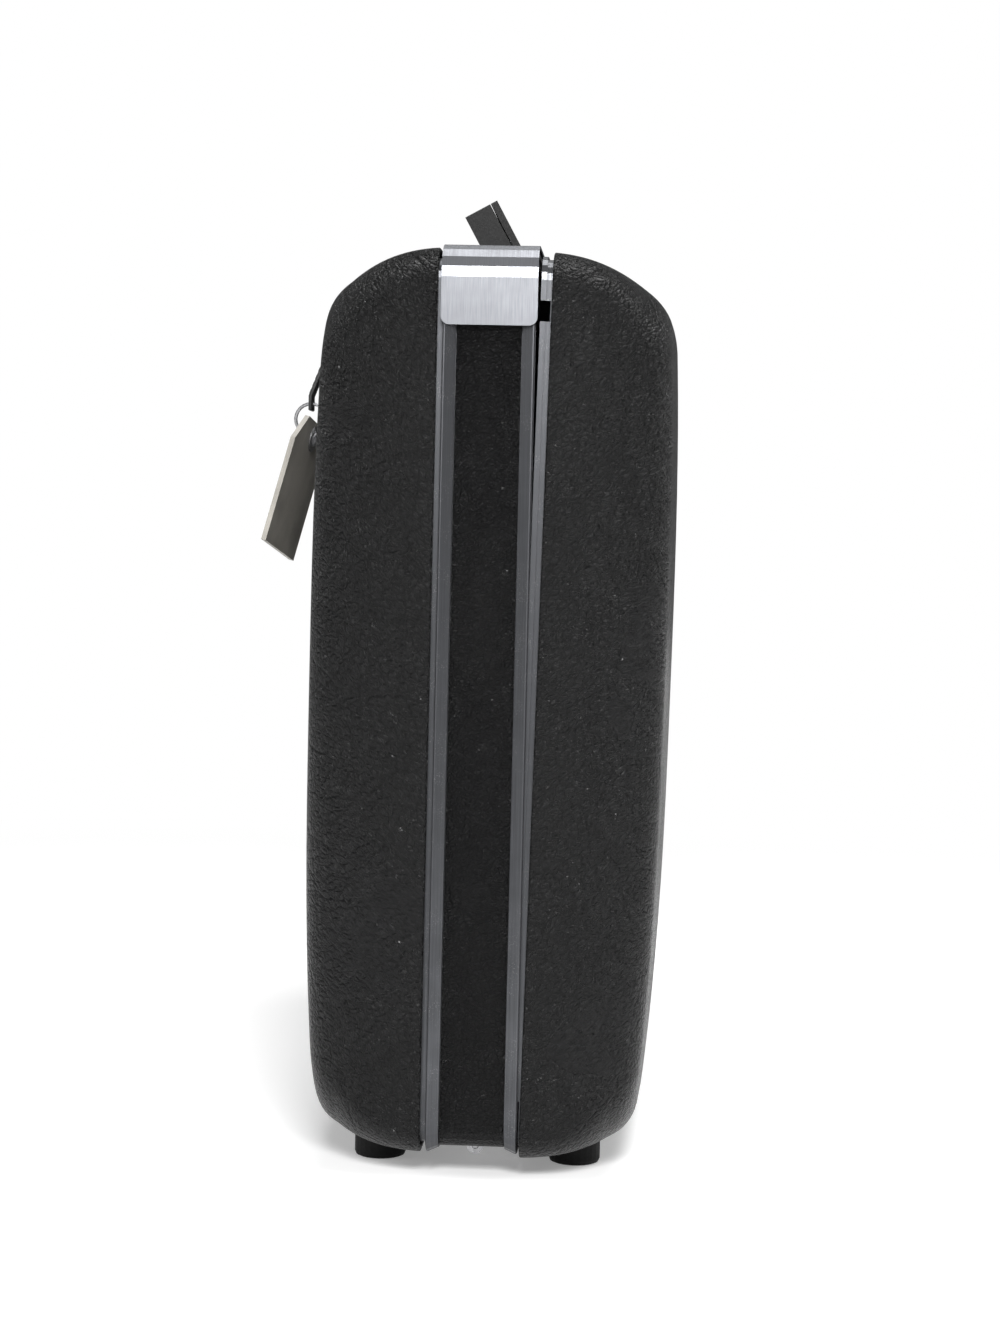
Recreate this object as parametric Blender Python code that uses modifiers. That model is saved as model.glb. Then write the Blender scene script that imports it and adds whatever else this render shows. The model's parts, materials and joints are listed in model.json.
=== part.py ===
# Hard-shell briefcase standing on its hinge side, lid a degree ajar.
# +X is the lid side, Y runs along the case, +Z is up, the floor is Z = 0. Lengths are in metres.
import math

import bmesh
import bpy
from mathutils import Matrix, Vector

# Band: the base's frame, whose leather plane is the outline that everything follows
band_half_length = 0.225
band_low = 0.0113
band_high = 0.3385
band_corner = 0.009
band_half_width = 0.01675
rail_width = 0.00465
rail_proud = 0.0025
rail_foot = 0.0007
rail_lip = 0.0004
web_thickness = 0.0019
web_depth = 0.0018
flange_length = 0.010
flange_thickness = 0.0019
flange_depth = 0.0012
groove_low = 0.0018
groove_depth = 0.00355
running_gap = 0.0003

# Shells
shell_depth = 0.0496
shell_wall = 0.0023
shell_proud = 0.0026
base_shell_gap = 0.0021
lid_shell_gap = 0.0008
lid_drop = 0.0008
wall_depth_share = 0.757
top_slope_shares = (0.05, 0.32)
bottom_slope_shares = (0.03, 0.17)
end_slope_shares = (0.04, 0.24)
corner_reach = 0.009
face_radius = 0.022
crown_top = 0.0043
crown_bottom = 0.0062
crown_end = 0.004
lean_reach_share = 1.25
wall_shares = (0, 0.25, 0.5, 0.75, 1)
round_shares = (0.33, 0.67, 1)
face_radius_gain_share = 0.25
face_radius_cap_share = 0.6
face_inset_shares = (0.08, 0.25, 0.5, 0.75)

# Lid frame and hinge
ajar_angle = math.radians(0.9)
hinge_height = 0.0075
tongue_reach = 0.0044
tongue_high = 0.0002
tongue_low = 0.0014
tongue_back = 0.0009
tongue_lip = 0.002
tongue_start = 0.030
tongue_notch_low = 0.3145
tongue_notch_high = 0.322
lid_flange_depth = 0.0025
hinge_half_length = 0.198
knuckle_count = 15
knuckle_radius = 0.00315
pin_radius = 0.0011
leaf_thickness = 0.0012
leaf_gap = 0.0004
hinge_end_gap = 0.00045
channel_gap = 0.00005
leaf_root = 0.0015
base_leaf_reach = 0.0105
lid_leaf_reach = 0.0255
rivet_radius = 0.0014
rivet_head_radius = 0.0022
rivet_head = 0.0008
lid_rivet_x = 0.0225

# Top plate and grained inlay
plate_half_width = 0.0175
plate_thickness = 0.001
plate_drop = 0.030
plate_corner = 0.003
inlay_thickness = 0.0015
inlay_cover = 0.012

# Feet
foot_radius = 0.00975
foot_x = 0.037
foot_y = 0.185
foot_round = 0.0018
foot_recess_radius = 0.004
foot_recess = 0.003
foot_rivet_radius = 0.0016
foot_rivet_head = 0.001
foot_rivet_head_radius = 0.0032
foot_tail = 0.0006
foot_tail_radius = 0.0022

# Linings and pocket
lining_gap = 0.0021
lining_wall = 0.001
lining_start_gap = 0.0011
pocket_half_length = 0.150
pocket_low = 0.070
pocket_high = 0.250
pocket_wall = 0.0015
pocket_rows = 7
pocket_columns = 9

# Handle
handle_lean = math.radians(29)
handle_pivot_x = -0.0022
handle_pivot_lift = 0.0095
handle_height = 0.0246
handle_half_thickness = 0.0075
handle_half_length = 0.074
handle_arm = 0.014
grip_depth = 0.0115
grip_round = 0.003
cover_thickness = 0.003
cover_round = 0.001
core_thickness = 0.0024
core_width = 0.0066
bracket_length = 0.0215
bracket_half_width = 0.009
bracket_base = 0.0015
bracket_rivet_reach = 0.0065
ear_thickness = 0.0021
ear_radius = 0.006
handle_pin_radius = 0.002

# Latches, placed along Y from the middle of the case
latch_y = 0.118
latch_travel = 0.012
thumb_half_length = 0.011
thumb_half_width = 0.008
thumb_height = 0.0045
thumb_round = 0.0011
thumb_x = 0.001
neck_half_width = 0.003
neck_half_length = 0.004
bolt_thickness = 0.0016
bolt_drop = 0.001
bolt_half_width = 0.00425
bolt_x = 0.00125
bolt_back = 0.024
bolt_front = 0.014
arm_length = 0.004
prong_x = 0.0095
prong_half_width = 0.0011
prong_length = 0.008
tray_wall = 0.0015
tray_gap = 0.0005
tray_back_x = 0.0148
tray_front_x = 0.0112
tray_back = 0.027
tray_front = 0.042
spring_thickness = 0.0005
spring_half_length = 0.008
spring_bow = 0.0035
striker_y = 0.0315
striker_half_length = 0.007
striker_tip_x = 0.006
striker_web = 0.002
striker_window = 0.006
striker_notch = 0.0035
striker_reach = 0.0255
lock_y = 0.018
lock_x = 0.0072
lock_radius = 0.004
lock_proud = 0.001
key_slot_width = 0.0012
key_slot_length = 0.005
key_slot_depth = 0.0025
cam_radius = 0.0055
cam_flat = 0.0037
cam_pocket_radius = 0.0059
cam_thickness = 0.0014

# Lid stays: arcs about the hinge axis
stay_radius = 0.046
stay_half_width = 0.004
stay_thickness = 0.0015
stay_y = 0.2108
stay_start = math.radians(60)
stay_end = math.radians(160)
stay_foot_length = 0.010
stay_stop_radius = 0.002
stay_stop_length = 0.005
stay_stop_angle = math.radians(157)
guide_low_x = 0.0085
guide_high_x = 0.0145
guide_half_height = 0.009
guide_wall = 0.0018
guide_clearance = 0.0006
guide_slot_end = math.radians(100)

# Luggage tag: its lower corners and tilt follow the photo
tag_width = 0.050
tag_length = 0.056
tag_thickness = 0.002
tag_chamfer = 0.012
tag_reach = 0.0978
tag_hole_inset = 0.007
tag_hole_radius = 0.0032
eyelet_wall = 0.001
eyelet_lip = 0.0006
tag_pivot = Vector((-0.0834, -0.0745, 0.278))
tag_tilt = math.radians(14)
tag_twist = math.radians(8)
tag_roll = math.radians(-8)
ring_radius = 0.0065
ring_wire = 0.0007
tag_drop = 0.0015
ring_hole_gap = 0.00045
strap_width = 0.010
strap_thickness = 0.0016
strap_lift = 0.0004
strap_shoulder = 0.0125
strap_shoulder_drop = 0.010
strap_tail = 0.003
strap_route_shares = (0.15, 0.3, 0.45, 0.6, 0.8, 1)

# Counts and small shares
corner_steps = 5
round_steps = 24
small_steps = 12
overrun = 0.002
sharp_angle = math.radians(35)
bevel_angle = math.radians(50)

middle = (band_low + band_high) / 2
half_height = (band_high - band_low) / 2
base_rim_x = band_half_width + base_shell_gap
lid_rim_x = band_half_width + lid_shell_gap
inner_rail_x = band_half_width - rail_width
plate_under = rail_proud + running_gap
plate_top_z = band_high + plate_under + plate_thickness
web_under_z = band_high - web_depth - web_thickness
lid_reach = lid_rim_x + shell_depth + (middle - hinge_height) * math.sin(ajar_angle) * lean_reach_share
case_shift = (tag_reach - lid_reach) / 2


def clear_scene():
    for thing in list(bpy.data.objects):
        bpy.data.objects.remove(thing, do_unlink=True)
    for group in list(bpy.data.collections):
        bpy.data.collections.remove(group)


clear_scene()
parts = bpy.data.collections.new("briefcase")
cutters = bpy.data.collections.new("cutters")
bpy.context.scene.collection.children.link(parts)
bpy.context.scene.collection.children.link(cutters)


def make_material(name, colour, roughness, metallic):
    material = bpy.data.materials.new(name)
    material.use_nodes = True
    shader = material.node_tree.nodes["Principled BSDF"]
    shader.inputs["Base Color"].default_value = (*colour, 1.0)
    shader.inputs["Roughness"].default_value = roughness
    shader.inputs["Metallic"].default_value = metallic
    material.diffuse_color = (*colour, 1.0)
    return material


shell_black = make_material("grained_black_shell", (0.018, 0.018, 0.019), 0.42, 0.0)
inlay_black = make_material("grained_inlay", (0.012, 0.012, 0.013), 0.35, 0.0)
rail_grey = make_material("satin_grey_rail", (0.13, 0.13, 0.135), 0.38, 0.7)
plate_grey = make_material("brushed_grey_plate", (0.2, 0.2, 0.215), 0.35, 0.8)
steel = make_material("plated_steel", (0.45, 0.45, 0.46), 0.3, 1.0)
handle_black = make_material("matte_black_handle", (0.01, 0.01, 0.01), 0.55, 0.0)
rubber = make_material("black_rubber", (0.012, 0.012, 0.012), 0.7, 0.0)
lining_grey = make_material("grey_lining", (0.06, 0.06, 0.065), 0.9, 0.0)
tag_grey = make_material("grey_tag", (0.2, 0.195, 0.18), 0.6, 0.0)
strap_black = make_material("black_strap", (0.015, 0.015, 0.015), 0.6, 0.0)


def make_empty(name, place, parent=None):
    empty = bpy.data.objects.new(name, None)
    empty.location = place
    empty.parent = parent
    parts.objects.link(empty)
    return empty


case = make_empty("case_origin", (case_shift, 0, 0))
lid_pivot = make_empty("lid_pivot", (0, 0, hinge_height), case)
lid_pivot.rotation_euler = (0, ajar_angle, 0)
handle_pivot_z = plate_top_z + handle_pivot_lift
handle_pivot = make_empty("handle_pivot", (handle_pivot_x, 0, handle_pivot_z), case)
handle_pivot.rotation_euler = (0, -handle_lean, 0)
tag_hinge = make_empty("tag_hinge", tag_pivot + Vector((0, 0, 2 * ring_radius)), case)
tag_hang = make_empty("tag_hang", (0, 0, -2 * ring_radius), tag_hinge)
tag_hang.rotation_euler = (
    Matrix.Rotation(tag_tilt, 3, "Y") @ Matrix.Rotation(tag_roll, 3, "X") @ Matrix.Rotation(-tag_twist, 3, "Z")
).to_euler()
case_frame = (case, Vector((0, 0, 0)))
lid_frame_place = (lid_pivot, Vector((0, 0, -hinge_height)))
handle_frame = (handle_pivot, Vector((0, 0, 0)))
ring_frame = (tag_hinge, -tag_hinge.location)
tag_frame = (tag_hang, Vector((0, 0, -tag_drop)))


def add_object(name, bm, material, place):
    # One closed mesh with its normals out, smooth except at sharp edges.
    bmesh.ops.recalc_face_normals(bm, faces=bm.faces)
    mesh = bpy.data.meshes.new(name)
    bm.to_mesh(mesh)
    bm.free()
    mesh.shade_smooth()
    mesh.set_sharp_from_angle(angle=sharp_angle)
    thing = bpy.data.objects.new(name, mesh)
    if material is None:
        cutters.objects.link(thing)
        thing.hide_render = True
        thing.display_type = "WIRE"
    else:
        parts.objects.link(thing)
        mesh.materials.append(material)
    thing.parent, thing.location = place
    return thing


def cut(thing, cutter, operation="DIFFERENCE"):
    modifier = thing.modifiers.new(operation.lower(), "BOOLEAN")
    modifier.operation = operation
    modifier.solver = "EXACT"
    modifier.object = cutter


def add_box(bm, low, high, turn=None):
    # A box between two corners, turned if asked about its own middle.
    low, high = Vector(low), Vector(high)
    size = high - low
    matrix = Matrix.Translation((low + high) / 2)
    if turn is not None:
        matrix = matrix @ turn
    return bmesh.ops.create_cube(bm, size=1, matrix=matrix @ Matrix.Diagonal((*size, 1)))["verts"]


def add_rod(bm, start, end, radius, steps=small_steps):
    # A cylinder between two points.
    start, end = Vector(start), Vector(end)
    along = end - start
    turn = Vector((0, 0, 1)).rotation_difference(along).to_matrix().to_4x4()
    matrix = Matrix.Translation((start + end) / 2) @ turn
    made = bmesh.ops.create_cone(
        bm, cap_ends=True, segments=steps, radius1=radius, radius2=radius, depth=along.length, matrix=matrix
    )
    return made["verts"]


def box(name, low, high, material, place, turn=None):
    bm = bmesh.new()
    add_box(bm, low, high, turn)
    return add_object(name, bm, material, place)


def rod(name, start, end, radius, material, place, steps=small_steps):
    bm = bmesh.new()
    add_rod(bm, start, end, radius, steps)
    return add_object(name, bm, material, place)


def prism(name, outline, depth, material, place):
    # A flat outline, extruded by the depth vector.
    bm = bmesh.new()
    verts = [bm.verts.new(point) for point in outline]
    edges = [bm.edges.new((verts[index - 1], verts[index])) for index in range(len(verts))]
    face = bmesh.ops.edgeloop_fill(bm, edges=edges)["faces"]
    top = bmesh.ops.extrude_face_region(bm, geom=face)["geom"]
    moved = [element for element in top if isinstance(element, bmesh.types.BMVert)]
    bmesh.ops.translate(bm, verts=moved, vec=depth)
    return add_object(name, bm, material, place)


def ring_points(half_length, low, high, radius):
    # A rounded rectangle in the YZ plane.
    centres = (
        (half_length - radius, high - radius),
        (radius - half_length, high - radius),
        (radius - half_length, low + radius),
        (half_length - radius, low + radius),
    )
    points = []
    for quarter, (centre_y, centre_z) in enumerate(centres):
        for step in range(corner_steps + 1):
            angle = math.pi / 2 * (quarter + step / corner_steps)
            points.append((centre_y + radius * math.cos(angle), centre_z + radius * math.sin(angle)))
    return points


def add_ring(bm, points):
    return [bm.verts.new(point) for point in points]


def bridge(bm, rings, closed):
    # A loft between sections of unlike size with the same number of points.
    pairs = list(zip(rings, rings[1:]))
    if closed:
        pairs.append((rings[-1], rings[0]))
    for first, second in pairs:
        for index in range(len(first)):
            bm.faces.new((first[index - 1], first[index], second[index], second[index - 1]))


def sweep_section(name, section, material, place):
    # A closed section of (x, height above the leather plane), carried round the band's outline.
    bm = bmesh.new()
    rings = []
    for x, rise in section:
        outline = ring_points(
            band_half_length + rise, band_low - rise, band_high + rise, band_corner + rise
        )
        rings.append(add_ring(bm, [(x, y, z) for y, z in outline]))
    bridge(bm, rings, True)
    return add_object(name, bm, material, place)


def wall_drop(depth, shares):
    return depth * (shares[0] + shares[1] * depth / shell_depth)


def wall_slope(depth, shares):
    return shares[0] + 2 * shares[1] * depth / shell_depth


def crown(y, z, depth):
    # How far the outer face falls away from its flat middle.
    up = (z - middle) / half_height
    fall = (crown_top if up > 0 else crown_bottom) * abs(up) ** 3
    fall += crown_end * abs(y / band_half_length) ** 3
    return fall * (depth / shell_depth) ** 2


slopes = (top_slope_shares, bottom_slope_shares, end_slope_shares)


def shell_stations(start):
    # Depth, then the drop at the top, bottom and ends, and the corner radius.
    edge = shell_depth * wall_depth_share
    rim_radius = band_corner + shell_proud
    stations = []
    for share in wall_shares:
        depth = start + (edge - start) * share
        drops = [wall_drop(depth, shares) for shares in slopes]
        stations.append((depth, drops, rim_radius + (face_radius - rim_radius) * share**3))
    ends = []
    for share in round_shares:
        back = 1 - share
        depth = back * back * edge + (1 - back * back) * shell_depth
        drops = []
        for shares in slopes:
            first = wall_drop(edge, shares)
            knee = first + wall_slope(edge, shares) * (shell_depth - edge)
            drops.append(
                back * back * first + 2 * back * share * knee + share * share * (knee + corner_reach)
            )
        stations.append((depth, drops, face_radius))
        ends = drops
    for share in face_inset_shares:
        inset = half_height * share
        left = half_height - inset - (ends[0] + ends[1]) / 2
        radius = min(face_radius + inset * face_radius_gain_share, left * face_radius_cap_share)
        stations.append((shell_depth, [drop + inset for drop in ends], radius))
    return stations


def shell_surface(name, side, rim_x, start, inset, wall, drop, material, place):
    # An open tray, side -1 for the base and +1 for the lid, given its wall by Solidify.
    bm = bmesh.new()
    rings = []
    for depth, (top, bottom, end), radius in shell_stations(start):
        proud = shell_proud - inset
        outline = ring_points(
            band_half_length + proud - end,
            band_low - proud + bottom - drop,
            band_high + proud - top - drop,
            radius,
        )
        edge = shell_depth * wall_depth_share
        inner = depth - inset * max(0, depth - edge) / (shell_depth - edge)
        points = [(side * (rim_x + inner - crown(y, z, depth)), y, z) for y, z in outline]
        rings.append(add_ring(bm, points))
    bridge(bm, rings, False)
    bm.faces.new(rings[-1])
    bmesh.ops.recalc_face_normals(bm, faces=bm.faces)
    outward = sum((face.normal.x * face.calc_area() for face in bm.faces), 0.0)
    if outward * side < 0:
        bmesh.ops.reverse_faces(bm, faces=bm.faces)
    mesh = bpy.data.meshes.new(name)
    bm.to_mesh(mesh)
    bm.free()
    mesh.shade_smooth()
    mesh.materials.append(material)
    thing = bpy.data.objects.new(name, mesh)
    parts.objects.link(thing)
    thing.parent, thing.location = place
    solid = thing.modifiers.new("wall", "SOLIDIFY")
    solid.thickness = wall
    solid.offset = -1
    solid.use_even_offset = True
    return thing


# Shells and linings
base_shell = shell_surface("base_shell", -1, base_rim_x, 0, 0, shell_wall, 0, shell_black, case_frame)
lid_shell = shell_surface(
    "lid_shell", 1, lid_rim_x, 0, 0, shell_wall, lid_drop, shell_black, lid_frame_place
)
lining_inset = shell_wall + lining_gap
base_lining_start = flange_length - base_shell_gap + lining_start_gap
lid_flange_end = lid_rim_x + flange_length - lid_shell_gap
lid_lining_start = lid_flange_end - lid_rim_x + lining_start_gap
base_lining = shell_surface(
    "base_lining", -1, base_rim_x, base_lining_start, lining_inset, lining_wall, 0, lining_grey, case_frame
)
lid_lining = shell_surface(
    "lid_lining",
    1,
    lid_rim_x,
    lid_lining_start,
    lining_inset,
    lining_wall,
    lid_drop,
    lining_grey,
    lid_frame_place,
)

# The base's frame: flange for the shell, channel for the inlay, two rails, groove for the tongue
peak = band_half_width - rail_lip * 2
base_frame = sweep_section(
    "base_frame",
    [
        (-band_half_width - flange_length, -flange_depth - flange_thickness),
        (-band_half_width - flange_length, -flange_depth),
        (-band_half_width, -flange_depth),
        (-band_half_width, rail_proud - rail_lip),
        (rail_lip - band_half_width, rail_proud),
        (-peak, rail_proud),
        (-inner_rail_x, rail_foot),
        (-inner_rail_x, -web_depth),
        (inner_rail_x, -web_depth),
        (inner_rail_x, rail_foot),
        (peak, rail_proud),
        (band_half_width - rail_lip, rail_proud),
        (band_half_width, rail_proud - rail_lip),
        (band_half_width, rail_foot),
        (band_half_width - groove_depth, rail_foot),
        (band_half_width - groove_depth, -groove_low),
        (band_half_width, -groove_low),
        (band_half_width, -web_depth - web_thickness),
        (-band_half_width - web_thickness, -web_depth - web_thickness),
        (-band_half_width - web_thickness, -flange_depth - flange_thickness),
    ],
    rail_grey,
    case_frame,
)
hinge_room = hinge_half_length + hinge_end_gap
cut(
    base_frame,
    box(
        "rail_cutter",
        (inner_rail_x - running_gap, -hinge_room, band_low - rail_proud - overrun),
        (band_half_width + overrun, hinge_room, band_low + web_depth + channel_gap),
        None,
        case_frame,
    ),
)

# The lid's frame, with a tongue at the top and ends only
lid_inner_x = band_half_width + running_gap
lid_outer_x = lid_inner_x + leaf_thickness
lid_frame = sweep_section(
    "lid_frame",
    [
        (band_half_width + running_gap - tongue_reach + lid_shell_gap, -tongue_low),
        (band_half_width + running_gap - tongue_reach + lid_shell_gap, tongue_high),
        (band_half_width + running_gap - tongue_reach + lid_shell_gap + tongue_lip, tongue_high),
        (band_half_width + running_gap - tongue_reach + lid_shell_gap + tongue_lip, -tongue_back),
        (lid_outer_x, -tongue_back),
        (lid_outer_x, -lid_flange_depth),
        (lid_flange_end, -lid_flange_depth),
        (lid_flange_end, -lid_flange_depth - flange_thickness),
        (lid_inner_x, -lid_flange_depth - flange_thickness),
        (lid_inner_x, -tongue_low),
    ],
    rail_grey,
    lid_frame_place,
)
tongue_room = band_half_length + overrun
cut(
    lid_frame,
    box(
        "tongue_low_cutter",
        (0, -tongue_room, band_low - overrun),
        (lid_inner_x, tongue_room, tongue_start),
        None,
        lid_frame_place,
    ),
)
cut(
    lid_frame,
    box(
        "lid_leaf_cutter",
        (0, -hinge_room, band_low - overrun),
        (lid_outer_x + running_gap, hinge_room, band_low + lid_flange_depth),
        None,
        lid_frame_place,
    ),
)
for side in (-1, 1):
    notch_edges = sorted((side * (band_half_length - band_corner), side * tongue_room))
    cut(
        lid_frame,
        box(
            f"tongue_notch_cutter_{side}",
            (0, notch_edges[0], tongue_notch_low),
            (lid_inner_x, notch_edges[1], tongue_notch_high),
            None,
            lid_frame_place,
        ),
    )


def strip(name, path, half_width, thickness, corner, material, place):
    # A flat strip across X along a YZ path, with rounded free corners, thickened to its inner side.
    bm = bmesh.new()
    verts = [bm.verts.new((-half_width, y, z)) for y, z in path]
    edges = [bm.edges.new(pair) for pair in zip(verts, verts[1:])]
    made = bmesh.ops.extrude_edge_only(bm, edges=edges)["geom"]
    moved = [element for element in made if isinstance(element, bmesh.types.BMVert)]
    bmesh.ops.translate(bm, verts=moved, vec=(2 * half_width, 0, 0))
    bmesh.ops.recalc_face_normals(bm, faces=bm.faces)
    centre = Vector((0, 0, middle))
    facing = sum((face.normal.dot(face.calc_center_median() - centre) for face in bm.faces), 0.0)
    if facing < 0:
        bmesh.ops.reverse_faces(bm, faces=bm.faces)
    if corner:
        ends = [vert for vert in bm.verts if len(vert.link_faces) == 1]
        bmesh.ops.bevel(bm, geom=ends, offset=corner, segments=4, profile=0.5, affect="VERTICES", material=-1)
    mesh = bpy.data.meshes.new(name)
    bm.to_mesh(mesh)
    bm.free()
    mesh.shade_smooth()
    mesh.set_sharp_from_angle(angle=sharp_angle)
    mesh.materials.append(material)
    thing = bpy.data.objects.new(name, mesh)
    parts.objects.link(thing)
    thing.parent, thing.location = place
    solid = thing.modifiers.new("thickness", "SOLIDIFY")
    solid.thickness = thickness
    solid.offset = -1
    solid.use_even_offset = True
    return thing


def corner_arc(side, vertical, radius, rise):
    # Points round one corner of the band, from its end face to its top (+1) or bottom (-1).
    centre_y = side * (band_half_length - band_corner)
    centre_z = middle + vertical * (half_height - band_corner)
    reach = radius + rise
    points = []
    for step in range(corner_steps + 1):
        angle = math.pi / 2 * step / corner_steps
        points.append(
            (centre_y + side * reach * math.cos(angle), centre_z + vertical * reach * math.sin(angle))
        )
    return points


plate_rise = plate_under + plate_thickness
plate_low = plate_top_z - plate_drop
plate_end = band_half_length + plate_rise
plate_path = [(-plate_end, plate_low), *corner_arc(-1, 1, band_corner, plate_rise)]
plate_path += [*reversed(corner_arc(1, 1, band_corner, plate_rise)), (plate_end, plate_low)]
top_plate = strip(
    "top_plate", plate_path, plate_half_width, plate_thickness, plate_corner, plate_grey, case_frame
)

inlay_half_width = inner_rail_x - running_gap
inlay_stop = hinge_room + running_gap
for side, end_name in ((-1, "near"), (1, "far")):
    inlay_path = [(side * band_half_length, plate_low + inlay_cover)]
    inlay_path += [*corner_arc(side, -1, band_corner, 0), (side * inlay_stop, band_low)]
    strip(
        f"band_inlay_{end_name}", inlay_path, inlay_half_width, inlay_thickness, 0, inlay_black, case_frame
    )

# Hinge: two leaves with alternating knuckles on one pin
knuckle_length = 2 * hinge_half_length / knuckle_count
leaf_high = band_low + web_depth - leaf_gap
leaf_low = leaf_high - leaf_thickness


def hinge_leaf(name, side, reach, odd, material, place):
    edges = sorted((side * (leaf_root + leaf_thickness / 2), side * reach))
    leaf = box(
        name,
        (edges[0], -hinge_half_length, leaf_low),
        (edges[1], hinge_half_length, leaf_high),
        material,
        place,
    )
    knuckles = bmesh.new()
    webs = bmesh.new()
    bores = bmesh.new()
    web_edges = sorted((side * leaf_root, side * (leaf_root + leaf_thickness)))
    for index in range(odd, knuckle_count, 2):
        low = -hinge_half_length + index * knuckle_length + running_gap / 2
        high = low + knuckle_length - running_gap
        add_rod(knuckles, (0, low, hinge_height), (0, high, hinge_height), knuckle_radius)
        web_top = (leaf_low + leaf_high) / 2
        trim = running_gap / 2
        add_box(webs, (web_edges[0], low + trim, hinge_height), (web_edges[1], high - trim, web_top))
    bore_end = hinge_half_length + overrun
    add_rod(bores, (0, -bore_end, hinge_height), (0, bore_end, hinge_height), pin_radius + running_gap)
    cut(leaf, add_object(f"{name}_webs", webs, None, place), "UNION")
    cut(leaf, add_object(f"{name}_knuckles", knuckles, None, place), "UNION")
    cut(leaf, add_object(f"{name}_bore", bores, None, place))
    return leaf


hinge_leaf("hinge_leaf_base", -1, base_leaf_reach, 0, steel, case_frame)
hinge_leaf("hinge_leaf_lid", 1, lid_leaf_reach, 1, steel, lid_frame_place)
hinge_pin = rod(
    "hinge_pin",
    (0, -hinge_half_length - running_gap, hinge_height),
    (0, hinge_half_length + running_gap, hinge_height),
    pin_radius,
    steel,
    case_frame,
    small_steps,
)

# Rivets: a shank with a head at one end and a tail at the other
rivet_room = rivet_radius + running_gap


def rivet(name, x, y, levels, place):
    # Levels lists (low, high, radius) along Z.
    bm = bmesh.new()
    rings = []
    for low, high, radius in levels:
        for z in (low, high):
            points = []
            for step in range(small_steps):
                angle = 2 * math.pi * step / small_steps
                points.append((x + radius * math.cos(angle), y + radius * math.sin(angle), z))
            rings.append(add_ring(bm, points))
    bridge(bm, rings, False)
    bm.faces.new(rings[0])
    bm.faces.new(rings[-1])
    return add_object(name, bm, steel, place)


def bores(name, spots, radius, low, high, place):
    bm = bmesh.new()
    for x, y in spots:
        add_rod(bm, (x, y, low), (x, y, high), radius)
    return add_object(name, bm, None, place)


# Feet, cut to the slope of the shell that they sit on and plumb at rest
def foot_place(side):
    if side < 0:
        return case, Matrix.Identity(4)
    swing = Matrix.Translation((0, 0, hinge_height)) @ Matrix.Rotation(ajar_angle, 4, "Y")
    return case, swing @ Matrix.Translation((0, 0, -hinge_height))


def shell_under(side, depth, swing):
    # A point on the shell's underside, at rest.
    rim_x, drop = (base_rim_x, 0) if side < 0 else (lid_rim_x, lid_drop)
    z = band_low - shell_proud - drop + wall_drop(depth, bottom_slope_shares)
    return swing @ Vector((side * (rim_x + depth), 0, z))


def make_feet(side, half_name, shell):
    owner, swing = foot_place(side)
    rim_x = base_rim_x if side < 0 else lid_rim_x
    near_point = shell_under(side, foot_x - foot_radius - rim_x, swing)
    mid_point = shell_under(side, foot_x - rim_x, swing)
    far_point = shell_under(side, foot_x + foot_radius - rim_x, swing)
    slope = math.atan((far_point.z - near_point.z) / (far_point.x - near_point.x))
    seat = Vector((mid_point.x, 0, mid_point.z - 2 * running_gap))
    inside = mid_point.z + shell_wall + 2 * running_gap + foot_tail_radius * abs(math.tan(slope))
    for y, end_name in ((-foot_y, "near"), (foot_y, "far")):
        bm = bmesh.new()
        add_rod(bm, (side * foot_x, y, 0), (side * foot_x, y, seat.z + foot_radius), foot_radius, round_steps)
        foot = add_object(f"{half_name}_foot_{end_name}", bm, rubber, (owner, Vector((0, 0, 0))))
        low_edge = foot.modifiers.new("rounded_edges", "BEVEL")
        low_edge.width = foot_round
        low_edge.segments = 2
        low_edge.limit_method = "ANGLE"
        turn = Matrix.Rotation(-slope, 4, "Y")
        slab = box(
            f"{foot.name}_slope",
            (seat.x - 2 * foot_radius, y - 2 * foot_radius, seat.z),
            (seat.x + 2 * foot_radius, y + 2 * foot_radius, seat.z + 4 * foot_radius),
            None,
            (owner, Vector((0, 0, 0))),
            Matrix.Translation((0, 0, -2 * foot_radius)) @ turn @ Matrix.Translation((0, 0, 2 * foot_radius)),
        )
        cut(foot, slab)
        recess = rod(
            f"{foot.name}_recess",
            (side * foot_x, y, -overrun),
            (side * foot_x, y, foot_recess),
            foot_recess_radius,
            None,
            (owner, Vector((0, 0, 0))),
        )
        cut(foot, recess)
        bore = rod(
            f"{foot.name}_bore",
            (side * foot_x, y, -overrun),
            (side * foot_x, y, inside + overrun),
            foot_rivet_radius + running_gap,
            None,
            (owner, Vector((0, 0, 0))),
        )
        cut(foot, bore)
        cut(shell, bore)
        head = foot_recess - running_gap
        levels = (
            (head - foot_rivet_head, head, foot_rivet_head_radius),
            (head, inside, foot_rivet_radius),
            (inside, inside + foot_tail, foot_tail_radius),
        )
        rivet(f"{half_name}_foot_rivet_{end_name}", side * foot_x, y, levels, (owner, Vector((0, 0, 0))))


make_feet(-1, "base", base_shell)
make_feet(1, "lid", lid_shell)


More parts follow.
